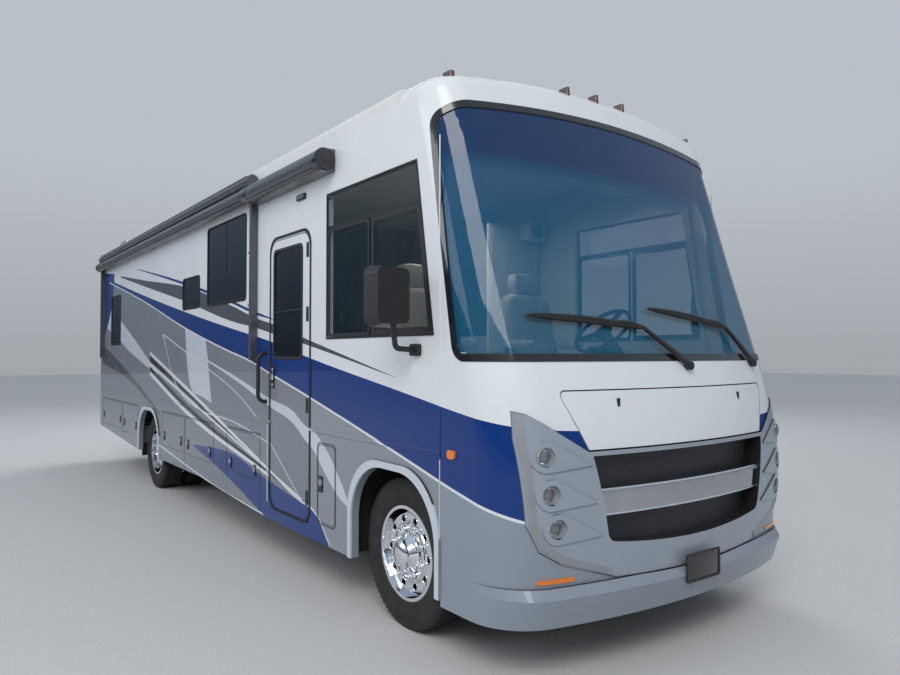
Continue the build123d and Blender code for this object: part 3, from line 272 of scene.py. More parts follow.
REAR_WHITE = ((1.5, 1.42, 1.44), (3.0, 1.72, 1.98), (4.0, 1.98, 2.3), (5.15, 2.2, 2.62))


def coach_paint(name, base=WHITE, striped=True):
    """Clear-coated body colour with the stripes laid over it by their place on the coach."""
    surface = Surface(name)
    x, y, z = surface.axes()
    colour = surface.mottled(surface.noise(2.5, 4.0), tuple(c * 0.97 for c in base), base)
    if striped:
        ahead_of_door = surface.mix(surface.below(y, DOOR_FRONT_Y), GREY, NEAR_GREY)
        under = surface.mix(surface.below(y, SEAM_Y), ahead_of_door, SILVER)
        layers = [(under, LOWER_BODY), (GREY, REAR_SWEEP[0]), (DARK_GREY, REAR_SWEEP[1])]
        layers += [(PALE_GREY, REAR_WHITE), (PALE_GREY, PALE_WEDGE), (BLUE, BLUE_BAND), (BLUE, THIN_BLUE)]
        layers += [(DARK_GREY, DARK_STRIPE), (BLUE, LOW_BLUE), (PALE_GREY, SWOOSH), (BLUE, REAR_BLUE)]
        layers += [(BLACK, knots) for knots in FAN_DARK]
        layers += [(PIN_WHITE, knots) for knots in (BLUE_PIN, LOW_PIN, *FAN)]
        for tint, knots in layers:
            colour = surface.mix(surface.band(y, z, knots), colour, tint)
        proud = surface.above(surface.math("ABSOLUTE", x), LIP_FROM_X)
        low = surface.times(surface.below(z, LIP_TOP_Z), surface.above(y, SEAM_Y))
        colour = surface.mix(surface.times(proud, low), colour, PALE_GREY)
    colour = surface.inner_side(colour, x, y, z)
    gloss = surface.range(surface.noise(1.2, 6.0), 0.26, 0.36)
    surface.set(Base_Color=colour, Roughness=gloss, Coat_Weight=0.45)
    surface.set(Specular_IOR_Level=0.2, Coat_Roughness=0.02)
    return surface.bump(surface.noise(260.0, 2.0), 0.00008, 0.25).material


def tyre_rubber():
    """Black rubber with fine moulding lines and a little dust."""
    surface = Surface("tyre_rubber")
    dusty = surface.mottled(surface.noise(14.0, 6.0), (0.01, 0.01, 0.011), (0.026, 0.025, 0.024))
    surface.set(Base_Color=dusty, Roughness=0.72)
    return surface.bump(surface.noise(180.0, 4.0), 0.0005, 0.6).material


def pane(surface, tint, cover, detail=3.0):
    """Tinted pane: clear to rays in part, with a sharp gloss and a slight wave."""
    haze = surface.range(surface.noise(4.0, detail), 0.0, 0.02)
    surface.set(Base_Color=tint, Alpha=cover, Roughness=haze)
    return surface.bump(surface.noise(1.6, 2.0), 0.0015, 0.12).material


def windscreen_tint():
    """Blue-green glass with a dark sun band across the top."""
    surface = Surface("windscreen_glass")
    z = surface.axes()["Z"]
    band = surface.spread(z, *SUN_BAND, form="SMOOTHSTEP")
    rise = surface.spread(z, *CLEAR_GLASS)
    body = surface.mix(rise, (0.01, 0.14, 0.26), (0.008, 0.09, 0.21))
    tint = surface.mix(band, body, (0.008, 0.036, 0.12))
    cover = surface.math("MULTIPLY_ADD", rise, 0.2, 0.4)
    cover = surface.math("MULTIPLY_ADD", band, 0.28, cover)
    return pane(surface, tint, cover)


def side_glass():
    """Dark privacy glass behind the door, lighter glass beside the front seats."""
    surface = Surface("side_glass")
    cab = surface.below(surface.axes()["Y"], CAB_WINDOW_END_Y)
    cover = surface.math("MULTIPLY_ADD", cab, -0.62, 0.86)
    tint = surface.mix(cab, (0.008, 0.012, 0.018), (0.02, 0.05, 0.066))
    return pane(surface, tint, cover)


def ribbed(surface, z):
    """Fine level ribs moulded into lamp plastic."""
    return surface.bump(surface.math("SINE", surface.times(z, LENS_RIBS)), 0.0006).material


def amber_lamps():
    """Bright amber beside the coach, smoked amber along the brow."""
    surface = Surface("amber_lamps")
    z = surface.axes()["Z"]
    brow = surface.above(z, BROW_Z)
    colour = surface.mix(brow, (0.8, 0.2, 0.012), (0.085, 0.048, 0.04))
    gloss = surface.range(surface.noise(30.0), 0.14, 0.26)
    surface.set(Base_Color=colour, Roughness=gloss, Coat_Weight=0.8)
    return ribbed(surface, z)


def wood(name, colour):
    surface = Surface(name)
    rings = surface.noise(5.0, 8.0, (9.0, 9.0, 0.7))
    dark = tuple(c * 0.55 for c in colour)
    surface.set(Base_Color=surface.mottled(rings, dark, colour), Roughness=0.42, Coat_Weight=0.2)
    return surface.bump(rings, 0.0006, 0.4).material


def lens(name, colour, glow):
    """Ribbed lamp plastic with a faint glow."""
    surface = Surface(name)
    shade = tuple(c * 0.6 for c in colour)
    surface.set(Base_Color=surface.mottled(surface.noise(30.0), shade, colour), Roughness=0.18)
    surface.set(Coat_Weight=0.8, Emission_Color=colour, Emission_Strength=glow)
    return ribbed(surface, surface.axes()["Z"])


def mesh_black():
    """Black grille moulding with a fine diamond mesh: its openings are painted darker, as painted shade,
    and bumped in.
    """
    surface = Surface("grille_mesh")
    x, y, z = surface.axes()
    up = surface.math("SINE", surface.times(surface.math("ADD", x, z), GRILLE_DIAMONDS))
    down = surface.math("SINE", surface.times(surface.math("SUBTRACT", x, z), GRILLE_DIAMONDS))
    share = surface.above(surface.times(up, down), 0.12)
    # Painted shade: the mesh openings get the darker black, where real holes would look into the dark
    # behind
    surface.set(Base_Color=surface.mix(share, (0.05, 0.052, 0.058), (0.004, 0.004, 0.005)), Roughness=0.5)
    return surface.bump(share, -0.002, 0.6).material


paint = coach_paint("coach_paint")
white_paint = coach_paint("white_paint", striped=False)
silver_paint = coach_paint("silver_paint", base=SILVER, striped=False)
# The grille surround gets the lighter copy of the silver paint: painted light for the brighter front
sunlit_surround_paint = coach_paint("sunlit_surround_paint", base=SUNLIT_SILVER, striped=False)
satin_grey = plain("satin_grey", (0.3, 0.32, 0.35), 0.38, metallic=0.35, coat=0.4, mottle=0.05)
chrome = plain("chrome", (0.88, 0.89, 0.91), 0.07, metallic=1.0, grain=60.0, depth=0.0003, mottle=0.03)
bar_chrome = plain("bar_chrome", (0.46, 0.47, 0.49), 0.06, metallic=1.0, grain=40.0, mottle=0.04)
aluminium = plain("aluminium", (0.62, 0.63, 0.65), 0.32, metallic=1.0, stretch=(1.0, 1.0, 30.0))
black_steel = plain(
    "black_steel", (0.018, 0.018, 0.02), 0.48, coat=0.15, grain=220.0, depth=0.0004, mottle=0.25
)
cast_iron = plain("cast_iron", (0.1, 0.1, 0.105), 0.7, metallic=0.5, grain=160.0, depth=0.0012, mottle=0.3)
black_plastic = plain("black_plastic", (0.016, 0.016, 0.018), 0.42, grain=700.0, depth=0.0003, mottle=0.12)
seal_black = plain("seal_black", (0.009, 0.009, 0.01), 0.55, grain=500.0, depth=0.0003, mottle=0.15)
gloss_black = plain("gloss_black", (0.01, 0.01, 0.012), 0.12, coat=0.6, depth=0.0001, mottle=0.1)
awning_grey = plain("awning_grey", (0.105, 0.108, 0.118), 0.36, metallic=0.5, coat=0.2, depth=0.0003)
roof_skin = plain("roof_skin", (0.7, 0.71, 0.71), 0.6, grain=90.0, depth=0.0008, mottle=0.02)
roof_plastic = plain("roof_plastic", (0.66, 0.67, 0.68), 0.5, grain=350.0, depth=0.0005, mottle=0.06)
lining = plain("lining", (0.52, 0.5, 0.46), 0.75, grain=240.0, depth=0.0006, mottle=0.05)
dash_skin = plain("dash_skin", (0.085, 0.082, 0.08), 0.62, grain=520.0, depth=0.0008, mottle=0.15)
leather = plain("leather", (0.46, 0.43, 0.38), 0.46, grain=130.0, depth=0.0012, mottle=0.1)
cabinet_wood = wood("cabinet_wood", (0.26, 0.155, 0.085))
plank_floor = wood("plank_floor", (0.34, 0.27, 0.2))
bay_liner = plain("bay_liner", (0.1, 0.1, 0.105), 0.95, grain=420.0, depth=0.002, mottle=0.18)
arch_felt = plain("arch_felt", (0.014, 0.014, 0.015), 0.95, grain=420.0, depth=0.002, mottle=0.18)
rubber = tyre_rubber()
windscreen_glass = windscreen_tint()
dark_glass = side_glass()
mirror_glass = plain(
    "mirror_glass", (0.72, 0.75, 0.78), 0.03, metallic=1.0, grain=8.0, depth=0.0001, mottle=0.03
)
clear_lens = pane(Surface("clear_lens"), (0.55, 0.6, 0.64), 0.3, 4.0)
amber_lens = amber_lamps()
red_lens = lens("red_lens", (0.5, 0.01, 0.012), 0.1)
grille_mesh = mesh_black()

# Finish of each node, without the name of its side
NODE_MATERIALS = {
    "front_cap": paint, "side_wall": paint, "entry_door": paint, "rear_cap": paint, "hood": white_paint,
    "roof": roof_skin, "front_bumper": silver_paint, "grille_surround": sunlit_surround_paint,
    "windscreen": windscreen_glass, "windscreen_seal": gloss_black, "side_windows": dark_glass,
    "entry_door_window": dark_glass, "headlamps": clear_lens, "marker_lamps": amber_lens,
    "tail_lamps": red_lens, "grille": grille_mesh, "grille_bar": bar_chrome, "floor": plank_floor,
    "entry_steps": aluminium, "storage_bays": bay_liner, "chassis_frame": black_steel,
    "engine_block": cast_iron, "front_axle": black_steel, "rear_axle": black_steel, "knuckle": cast_iron,
    "front_tyre": rubber, "rear_tyres": rubber, "front_rim": chrome, "rear_rims": chrome,
    "mirrors": black_plastic, "awnings": awning_grey, "roof_equipment": roof_plastic, "ladder": aluminium,
    "grab_handle": black_plastic, "wipers": black_plastic, "dashboard": dash_skin,
    "steering_wheel": black_plastic, "front_seats": leather, "interior_cabinets": cabinet_wood,
}
for name, node in nodes.items():
    kind = name.removesuffix("_curb").removesuffix("_street")
    material = paint if name.startswith("luggage_door") else NODE_MATERIALS[kind]
    node.data.materials.clear()
    node.data.materials.append(material)


# Mesh building
def spin(mesh, centre, axis, profile, segments=32):
    """Revolve a profile of (along, radius) about an axis through centre."""
    axis = Vector(axis).normalized()
    across = axis.orthogonal().normalized()
    upward = axis.cross(across)
    rings = []
    for along, radius in profile:
        hub = Vector(centre) + axis * along
        turns = range(segments if radius > 1e-6 else 1)
        angles = [tau * turn / segments for turn in turns]
        ring = [hub + (across * cos(a) + upward * sin(a)) * radius for a in angles]
        rings.append([mesh.verts.new(place) for place in ring])
    for first, second in zip(rings, rings[1:]):
        for i in range(segments):
            corners = [first[i % len(first)], first[(i + 1) % len(first)]]
            corners += [second[(i + 1) % len(second)], second[i % len(second)]]
            kept = [v for k, v in enumerate(corners) if v not in corners[:k]]
            if len(kept) > 2:
                mesh.faces.new(kept)


def block(mesh, centre, size, bevel=0.004, turn=None):
    """Box with rounded edges."""
    made = bmesh.ops.create_cube(mesh, size=1.0)["verts"]
    placed = Matrix.Translation(centre) @ (turn or Matrix.Identity(4)) @ Matrix.Diagonal((*size, 1.0))
    bmesh.ops.transform(mesh, matrix=placed, verts=made)
    edges = list({edge for vert in made for edge in vert.link_edges})
    offset = min(bevel, min(size) * 0.45)
    bmesh.ops.bevel(mesh, geom=edges, offset=offset, segments=3, affect="EDGES", profile=0.5)


def skin(mesh, rows, closed=False):
    """Faces between rows of points. closed joins the two ends of a row."""
    for first, second in zip(rows, rows[1:]):
        for i in range(0 if closed else 1, len(first)):
            mesh.faces.new((first[i - 1], first[i], second[i], second[i - 1]))


def skin_through(mesh, rows):
    """Skin over rows of places."""
    skin(mesh, [[mesh.verts.new(place) for place in row] for row in rows])


def round_loop(a0, a1, b0, b1, corner, steps=6):
    """Rounded rectangle as a list of points."""
    points = []
    for ca, cb, start in ((a1, b1, 0), (a0, b1, 90), (a0, b0, 180), (a1, b0, 270)):
        middle_a = ca - copysign(corner, ca - (a0 + a1) / 2)
        middle_b = cb - copysign(corner, cb - (b0 + b1) / 2)
        for step in range(steps + 1):
            angle = radians(start + 90.0 * step / steps)
            points.append((middle_a + corner * cos(angle), middle_b + corner * sin(angle)))
    return points


def shrink(loop, amount):
    """Loop drawn in towards its middle by about amount."""
    a_middle = sum(a for a, b in loop) / len(loop)
    b_middle = sum(b for a, b in loop) / len(loop)
    a_half = max(a for a, b in loop) - a_middle
    b_half = max(b for a, b in loop) - b_middle
    a_share, b_share = 1.0 - amount / a_half, 1.0 - amount / b_half
    return [(a_middle + (a - a_middle) * a_share, b_middle + (b - b_middle) * b_share) for a, b in loop]


def ring_plate(mesh, loop, width, place, depth):
    """Flat frame inside a loop, mapped into space by place(a, b, depth)."""
    inner = shrink(loop, width)
    rows = [(loop, 0.0), (loop, depth), (inner, depth), (inner, 0.0)]
    loops = [[mesh.verts.new(place(a, b, lift)) for a, b in points] for points, lift in rows]
    skin(mesh, loops + loops[:1], closed=True)


def add_piece(name, data, body):
    """Object of its own that rides on a body."""
    piece = bpy.data.objects.new(name, data)
    bpy.context.scene.collection.objects.link(piece)
    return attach(piece, body)


def finish_piece(mesh, name, material, body="coach", angle=35.0):
    """Turn the built mesh into a piece with smooth faces and sharp edges."""
    bmesh.ops.recalc_face_normals(mesh, faces=mesh.faces)
    data = bpy.data.meshes.new(name)
    mesh.to_mesh(data)
    mesh.free()
    data.materials.append(material)
    data.shade_smooth()
    data.set_sharp_from_angle(angle=radians(angle))
    return add_piece(name, data, body)


def pipe(name, points, radius, material):
    """Round bar along a line of points."""
    curve = bpy.data.curves.new(name, "CURVE")
    curve.dimensions = "3D"
    curve.bevel_depth = radius
    curve.bevel_resolution = 4
    curve.use_fill_caps = True
    spline = curve.splines.new("POLY")
    spline.points.add(len(points) - 1)
    for point, place in zip(spline.points, points):
        point.co = (*place, 1.0)
    curve.materials.append(material)
    return add_piece(name, curve, "coach")


def evenly(low, high, steps):
    """Values from low to high in even steps."""
    return [low + (high - low) * step / steps for step in range(steps + 1)]


def wall_place(side):
    """Mapping of y, height and lift onto the outside of a side wall."""
    return lambda y, z, lift: Vector((side * (HALF_WIDTH + lift), y, z))


def struck(node, start, way):
    """Point of a node that a ray meets first, or None."""
    hit, point, normal, face = nodes[node].ray_cast(Vector(start), Vector(way))
    return point if hit else None


def front_place(node, lift=0.0):
    """Mapping of x, height and lift onto the front of a node, carried past its edges."""
    def place(x, z, more=0.0):
        for step in range(40):
            for nudge in (0.0, 0.0008 * step, -0.0008 * step):
                point = struck(node, (x * (1.0 - 0.002 * step), -6.0, z + nudge), (0.0, 1.0, 0.0))
                if point:
                    return Vector((x, point.y - lift - more, z))
        raise ValueError(f"nothing of {node} at {x}, {z}")
    return place


# Wheels: hub cover, nuts, hand-hole rims and a stepped dish on each outer rim
NUT_COUNT = 8
NUT_CIRCLE = 0.143
HOLE_COUNT = 10
HOLE_CIRCLE = 0.205
LUG_COUNT = 72
LUG_CIRCLE, LUG_X = 0.451, 0.094
TYRE_HALF_WIDTH = 0.1225
# Middle plane of a tyre to the face of its disc, and that face to the hub's end
FRONT_DISC, REAR_DISC = 0.0725, 0.143
FRONT_REACH, REAR_REACH = 0.046, 0.088
NUT_PROFILE = ((0.0, 0.021), (0.006, 0.021), (0.01, 0.0165), (0.038, 0.0155), (0.047, 0.011), (0.05, 0.0))
HOLE_LIP = ((-0.01, 0.0215), (0.002, 0.0215), (0.004, 0.0245), (0.0, 0.028))
TREAD_GROOVES = (-0.062, -0.021, 0.021, 0.062)
# Bead to shoulder of a tyre. Columns: distance from the middle plane, radius
TYRE_SIDE = (
    (0.097, 0.2805), (0.1025, 0.29), (0.108, 0.3), (0.1105, 0.302), (0.1125, 0.314), (0.118, 0.34),
    (0.1225, 0.365), (0.1215, 0.38), (0.1195, 0.386), (0.121, 0.392), (0.118, 0.415), (0.11, 0.434),
    (0.104, 0.446), (0.098, 0.4535), (0.084, 0.4572),
)


def hub_profile(reach):
    """Domed cover over a hub that stands out from the disc by reach."""
    foot = [(0.0, 0.122), (0.01, 0.122), (0.016, 0.117), (max(0.02, reach - 0.03), 0.1135)]
    dome = ((0.0, 0.084), (0.02, 0.078), (0.034, 0.06), (0.04, 0.03), (0.042, 0.0))
    return foot + [(reach + along, radius) for along, radius in dome]


def round_wheel(centre, circle, count, first=0.0, out=0.0):
    """Evenly spaced places on a circle round a wheel's axis."""
    angles = [tau * (number + first) / count for number in range(count)]
    return [centre + Vector((out, circle * cos(a), circle * sin(a))) for a in angles]


def wheel_dress(side_name, side, where, axle_y, face_x, reach):
    """Bright fittings on the outer face of a wheel. face_x is where the disc lies."""
    body = f"front_wheel_{side_name}" if where == "front" else f"rear_wheels_{side_name}"
    centre = Vector((face_x, axle_y, AXLE_Z))
    nut_places = round_wheel(centre, NUT_CIRCLE, NUT_COUNT, 0.5, side * 0.002)
    hole_places = round_wheel(centre, HOLE_CIRCLE, HOLE_COUNT)
    steps = []
    for radius, proud in ((0.172, 0.01), (0.186, 0.007), (0.124, 0.012)):
        rise = ((0.0, -0.006), (proud, -0.004), (proud, 0.001), (0.0, 0.006))
        steps.append([(along, radius + more) for along, more in rise])
    for part, places, profiles, segments in (
        ("hub", [centre], [hub_profile(reach)], 64), ("nuts", nut_places, [NUT_PROFILE], 18),
        ("steps", [centre], steps, 96), ("hole_lips", hole_places, [HOLE_LIP], 24),
    ):
        mesh = bmesh.new()
        for place in places:
            for profile in profiles:
                spin(mesh, place, (side, 0.0, 0.0), profile, segments)
        finish_piece(mesh, f"{where}_{part}_{side_name}", chrome, body)


def tyre_dress(name, x, axle_y, body):
    """Tyre with grooved tread and ribbed sidewalls, in place of the plain one."""
    crown = []
    for groove in reversed(TREAD_GROOVES):
        crown += [(groove + 0.0055, 0.4574), (groove + 0.004, 0.444)]
        crown += [(groove - 0.004, 0.444), (groove - 0.0055, 0.4574)]
    profile = [*TYRE_SIDE, *crown, *[(-along, radius) for along, radius in reversed(TYRE_SIDE)]]
    mesh, lugs = bmesh.new(), bmesh.new()
    spin(mesh, (x, axle_y, AXLE_Z), (1.0, 0.0, 0.0), profile, 144)
    for lug in range(LUG_COUNT):
        angle = tau * lug / LUG_COUNT
        turn = Matrix.Rotation(angle - pi / 2, 4, "X")
        y, z = axle_y + LUG_CIRCLE * cos(angle), AXLE_Z + LUG_CIRCLE * sin(angle)
        for side in (-1, 1):
            block(lugs, (x + side * LUG_X, y, z), (0.02, 0.024, 0.008), 0.002, turn)
    finish_piece(lugs, f"{name}_shoulder_lugs", rubber, body, 30.0)
    return finish_piece(mesh, f"{name}_tread", rubber, body, 30.0)


for side_name, side in SIDES:
    low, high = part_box(f"front_tyre_{side_name}")
    front_x = (low.x + high.x) / 2
    wheel_dress(side_name, side, "front", FRONT_AXLE_Y, front_x + side * FRONT_DISC, FRONT_REACH)
    tread = tyre_dress(f"front_{side_name}", front_x, FRONT_AXLE_Y, f"front_wheel_{side_name}")
    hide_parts(f"front_tyre_{side_name}")
    ends = sorted((corner.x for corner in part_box(f"rear_tyres_{side_name}")), key=abs)
    inner_x, outer_x = ends[0] + side * TYRE_HALF_WIDTH, ends[1] - side * TYRE_HALF_WIDTH
    wheel_dress(side_name, side, "rear", REAR_AXLE_Y, outer_x - side * REAR_DISC, REAR_REACH)
    tyre_dress(f"rear_inner_{side_name}", inner_x, REAR_AXLE_Y, f"rear_wheels_{side_name}")
    tread = tyre_dress(f"rear_outer_{side_name}", outer_x, REAR_AXLE_Y, f"rear_wheels_{side_name}")
    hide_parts(f"rear_tyres_{side_name}")

# Lamps: bowl, bulb shade and grey ring in each pod. Columns of LAMPS: x, height
LAMPS = ((1.071, 1.164), (1.05, 0.974), (1.013, 0.802))
BOWL = ((0.012, 0.043), (0.022, 0.04), (0.04, 0.03), (0.05, 0.012), (0.052, 0.0))
SHADE = ((0.006, 0.0), (0.008, 0.012), (0.014, 0.019), (0.022, 0.022), (0.04, 0.022))
RING = ((0.012, 0.041), (-0.001, 0.043), (-0.004, 0.047), (-0.001, 0.051), (0.01, 0.052))
lamp_place = front_place("headlamps")
bowls, shades, rings = bmesh.new(), bmesh.new(), bmesh.new()
for x, z in LAMPS:
    for side in (-1, 1):
        face = lamp_place(side * x, z)
        for mesh, profile, segments in ((bowls, BOWL, 40), (shades, SHADE, 32), (rings, RING, 48)):
            spin(mesh, face, (0, 1, 0), profile, segments)
finish_piece(bowls, "lamp_bowls", chrome)
finish_piece(shades, "lamp_shades", gloss_black)
finish_piece(rings, "lamp_rings", satin_grey)

# Border band round the lamp moulding, lying on it
BORDER = (
    (1.19, 1.385), (1.193, 1.249), (1.157, 0.823), (1.098, 0.694), (0.978, 0.622), (0.8, 0.566),
    (0.655, 0.519),
)
BORDER_IN = (
    (1.15, 1.36), (1.15, 1.249), (1.115, 0.842), (1.066, 0.728), (0.962, 0.659), (0.79, 0.604),
    (0.662, 0.56),
)
# Columns: share of the way across the band, lift
BORDER_SECTION = ((0.06, -0.006), (0.12, 0.0), (0.5, 0.001), (0.9, 0.0), (0.96, -0.006))


def along(first, second, share):
    """Point a share of the way from the first to the second."""
    return tuple(a + (b - a) * share for a, b in zip(first, second))


def stroke(line, steps=8):
    """Line with steps points to each of its stretches."""
    shares = [step / steps for step in range(steps)]
    return [along(a, b, share) for a, b in zip(line, line[1:]) for share in shares] + [line[-1]]


for side_name, side in SIDES:
    band = bmesh.new()
    place = front_place("grille_surround", 0.004)
    rows = []
    for ends in zip(stroke(BORDER), stroke(BORDER_IN)):
        across = [(*along(*ends, share), lift) for share, lift in BORDER_SECTION]
        rows.append([place(side * x, z, lift) for x, z, lift in across])
    skin_through(band, rows)
    finish_piece(band, f"surround_border_{side_name}", satin_grey, angle=50.0)

# Hood catches, beads and ledge of the grille bar
catches = bmesh.new()
hood_place = front_place("hood", 0.001)
for x in (-0.566, 0.566):
    block(catches, hood_place(x, 1.42), (0.02, 0.012, 0.048), 0.005)
finish_piece(catches, "hood_catches", black_plastic, "hood")

bar_place = front_place("grille_bar")
for name, height in (("bar_top_bead", 0.9745), ("bar_foot_bead", 0.8435)):
    pipe(name, [bar_place(x, height) for x in evenly(-0.74, 0.74, 40)], 0.006, chrome)

ledge = bmesh.new()
# Columns: height, distance ahead of the bar
LEDGE_SECTION = ((0.95, 0.0), (0.951, 0.003), (0.966, 0.004), (0.9735, 0.001))
rows = [[bar_place(x, z, ahead) for z, ahead in LEDGE_SECTION] for x in evenly(-0.745, 0.745, 48)]
skin_through(ledge, rows)
finish_piece(ledge, "bar_ledge", satin_grey)

# Fine mesh laid over the grille plate, above and below the bar
grille_place = front_place("grille")
GRILLE_RIBS, RIB_ENDS = (0.746, 1.1065), (0.69, 0.78)


def grille_y(x, z):
    """Depth of the grille plate, carried on past its ends by the curve of its upper rib."""
    near, far = (max(-end, min(end, x)) for end in RIB_ENDS)
    head = grille_place(far, GRILLE_RIBS[1]).y
    foot = grille_place(near, GRILLE_RIBS[0]).y + head - grille_place(near, GRILLE_RIBS[1]).y
    return foot + (head - foot) * (z - GRILLE_RIBS[0]) / (GRILLE_RIBS[1] - GRILLE_RIBS[0])


# The screen is a solid sheet; the shade in its mesh openings is painted by its finish
screen = bmesh.new()
for low, high in ((0.66, 0.838), (0.98, 1.158)):
    rows = []
    for share in evenly(-1.0, 1.0, 40):
        row = [((0.7 + 0.095 * (z - 0.65) / 0.515) * share, z) for z in evenly(low, high, 4)]
        rows.append([(x, grille_y(x, z) - 0.007, z) for x, z in row])
    skin_through(screen, rows)
finish_piece(screen, "grille_screen", grille_mesh)

# Wipers: bowed blades with a rubber lip, and flat arm covers, along the plain rods
# Columns: pivot, heel and tip of the blade, each as x, height
WIPERS = (
    ((0.06, 1.612), (-0.26, 1.83), (-1.04, 1.885)), ((0.89, 1.622), (0.622, 1.851), (-0.168, 1.945)),
)
# Columns: share of the half width, distance behind the rod's middle
BLADE_SECTION = (
    (-1.0, 0.002), (-0.6, -0.008), (0.6, -0.008), (1.0, 0.002), (0.25, 0.014), (0.12, 0.026),
    (-0.12, 0.026), (-0.25, 0.014),
)
ARM_SECTION = (
    (-1.0, 0.006), (-0.8, -0.007), (0.0, -0.013), (0.8, -0.007), (1.0, 0.006), (0.7, 0.012), (0.0, 0.013),
    (-0.7, 0.012),
)
BEHIND_FACE = Vector((0.0, 0.009, 0.0))
wiper_place = front_place("wipers")


def wiper_loft(mesh, start, end, section, half_width, bow=0.0, steps=24):
    """Closed bar along a rod. half_width gives its half width at a share of the way."""
    run = Vector((end[0] - start[0], 0.0, end[1] - start[1]))
    across = Vector((run.z, 0.0, -run.x)).normalized()
    across *= copysign(1.0, across.z)
    rings = []
    for share in evenly(0.0, 1.0, steps):
        middle = wiper_place(start[0] + run.x * share, start[1] + run.z * share) + BEHIND_FACE
        middle += across * bow * sin(pi * share)
        ring = [middle + across * u * half_width(share) + Vector((0.0, v, 0.0)) for u, v in section]
        rings.append([mesh.verts.new(place) for place in ring])
    skin(mesh, rings, closed=True)
    mesh.faces.new(rings[0])
    mesh.faces.new(rings[-1])


blades = bmesh.new()
for pivot, heel, tip in WIPERS:
    blade_width = lambda s: 0.007 + 0.015 * sin(pi * s) ** 0.6
    wiper_loft(blades, heel, tip, BLADE_SECTION, blade_width, 0.007)
    wiper_loft(blades, pivot, heel, ARM_SECTION, lambda s: 0.019 - 0.008 * s)
    wiper_loft(blades, heel, along(heel, tip, 0.36), ARM_SECTION, lambda s: 0.011 - 0.003 * s, 0.022)
finish_piece(blades, "wiper_blades", black_plastic)

# Number plate: bare plate and its frame
PLATE_Z = 0.487
plate_place = front_place("front_bumper", 0.004)
plate_face = min(plate_place(x, z).y for x in (-0.15, 0.0, 0.15) for z in (0.43, 0.5))
plate = bmesh.new()
block(plate, (0.0, plate_face - 0.003, PLATE_Z), (0.305, 0.01, 0.152), 0.012)
finish_piece(plate, "plate_blank", gloss_black)
plate_frame = bmesh.new()
frame_face = plate_face - 0.007
outer = round_loop(-0.158, 0.158, PLATE_Z - 0.081, PLATE_Z + 0.081, 0.016)
ring_plate(plate_frame, outer, 0.012, lambda x, z, lift: Vector((x, frame_face - lift, z)), 0.004)
for x in (-0.09, 0.09):
    screw = ((0, 0.006), (0.003, 0.005), (0.004, 0.0))
    spin(plate_frame, (x, frame_face, PLATE_Z + 0.062), (0, -1, 0), screw, 14)
finish_piece(plate_frame, "plate_frame", black_plastic)


# Windows: rubber gaskets, sashes and dividers. Columns: first and last y, foot, top
SALON_WINDOWS = {
    "curb": ((-1.43, -0.348, 2.16, 2.94), (-0.105, 0.497, 2.165, 2.505), (3.577, 4.217, 1.82, 2.55)),
    "street": ((-1.9, -0.5, 1.88, 2.64), (0.9, 1.6, 2.15, 2.6), (3.0, 4.1, 1.88, 2.6)),
}
# Height of a salon window's opening part, as a share of the window
VENT_SHARE = 0.36
CAB_LOW, CAB_BAR, CAB_TOP, CAB_REAR, CAB_DIVIDER = 1.789, 2.57, 2.812, -3.0, -3.61
CAB_FRONT, CAB_SLOPE = -4.317, 0.168


def cab_edge(z):
    """Sloping front edge of the cab window."""
    return CAB_FRONT + (z - CAB_LOW) * CAB_SLOPE


def frame_on(mesh, loop, width, side, depth=0.01, sunk=0.006):
    """Flat frame along a loop on a side wall, partly let into it."""
    place = wall_place(side)
    ring_plate(mesh, loop, width, lambda y, z, lift: place(y, z, lift - sunk), depth)


for side_name, side in SIDES:
    gaskets, sashes = bmesh.new(), bmesh.new()
    for y0, y1, z0, z1 in SALON_WINDOWS[side_name]:
        frame_on(gaskets, round_loop(y0 - 0.004, y1 + 0.004, z0 - 0.004, z1 + 0.004, 0.048), 0.014, side)
        sill = z0 + (z1 - z0) * VENT_SHARE
        frame_on(sashes, round_loop(y0 + 0.016, y1 - 0.016, z0 + 0.016, sill, 0.02), 0.01, side, 0.006)
        bar = wall_place(side)((y0 + y1) / 2, (sill + z1) / 2, -0.004)
        block(sashes, bar, (0.006, 0.01, z1 - sill - 0.02), 0.002)
    rim = [(cab_edge(CAB_LOW) - 0.004, CAB_LOW - 0.004), (CAB_REAR + 0.004, CAB_LOW - 0.004)]
    rim += [(CAB_REAR + 0.004, CAB_TOP + 0.004), (cab_edge(CAB_TOP) - 0.004, CAB_TOP + 0.004)]
    frame_on(gaskets, rim, 0.014, side)
    bar_middle = (CAB_REAR + cab_edge(CAB_BAR)) / 2
    bar_length = CAB_REAR - cab_edge(CAB_BAR) - 0.01
    block(gaskets, wall_place(side)(bar_middle, CAB_BAR, -0.005), (0.008, bar_length, 0.026), 0.003)
    low, high = CAB_LOW + 0.012, CAB_BAR - 0.012
    frame_on(sashes, round_loop(CAB_DIVIDER + 0.01, CAB_REAR - 0.012, low, high, 0.03), 0.022, side, 0.008)
    fixed = [(cab_edge(low) + 0.012, low), (CAB_DIVIDER - 0.01, low)]
    fixed += [(CAB_DIVIDER - 0.01, high), (cab_edge(high) + 0.012, high)]
    frame_on(sashes, fixed, 0.036, side, 0.006)
    finish_piece(gaskets, f"window_gaskets_{side_name}", seal_black)
    finish_piece(sashes, f"window_sashes_{side_name}", black_plastic)

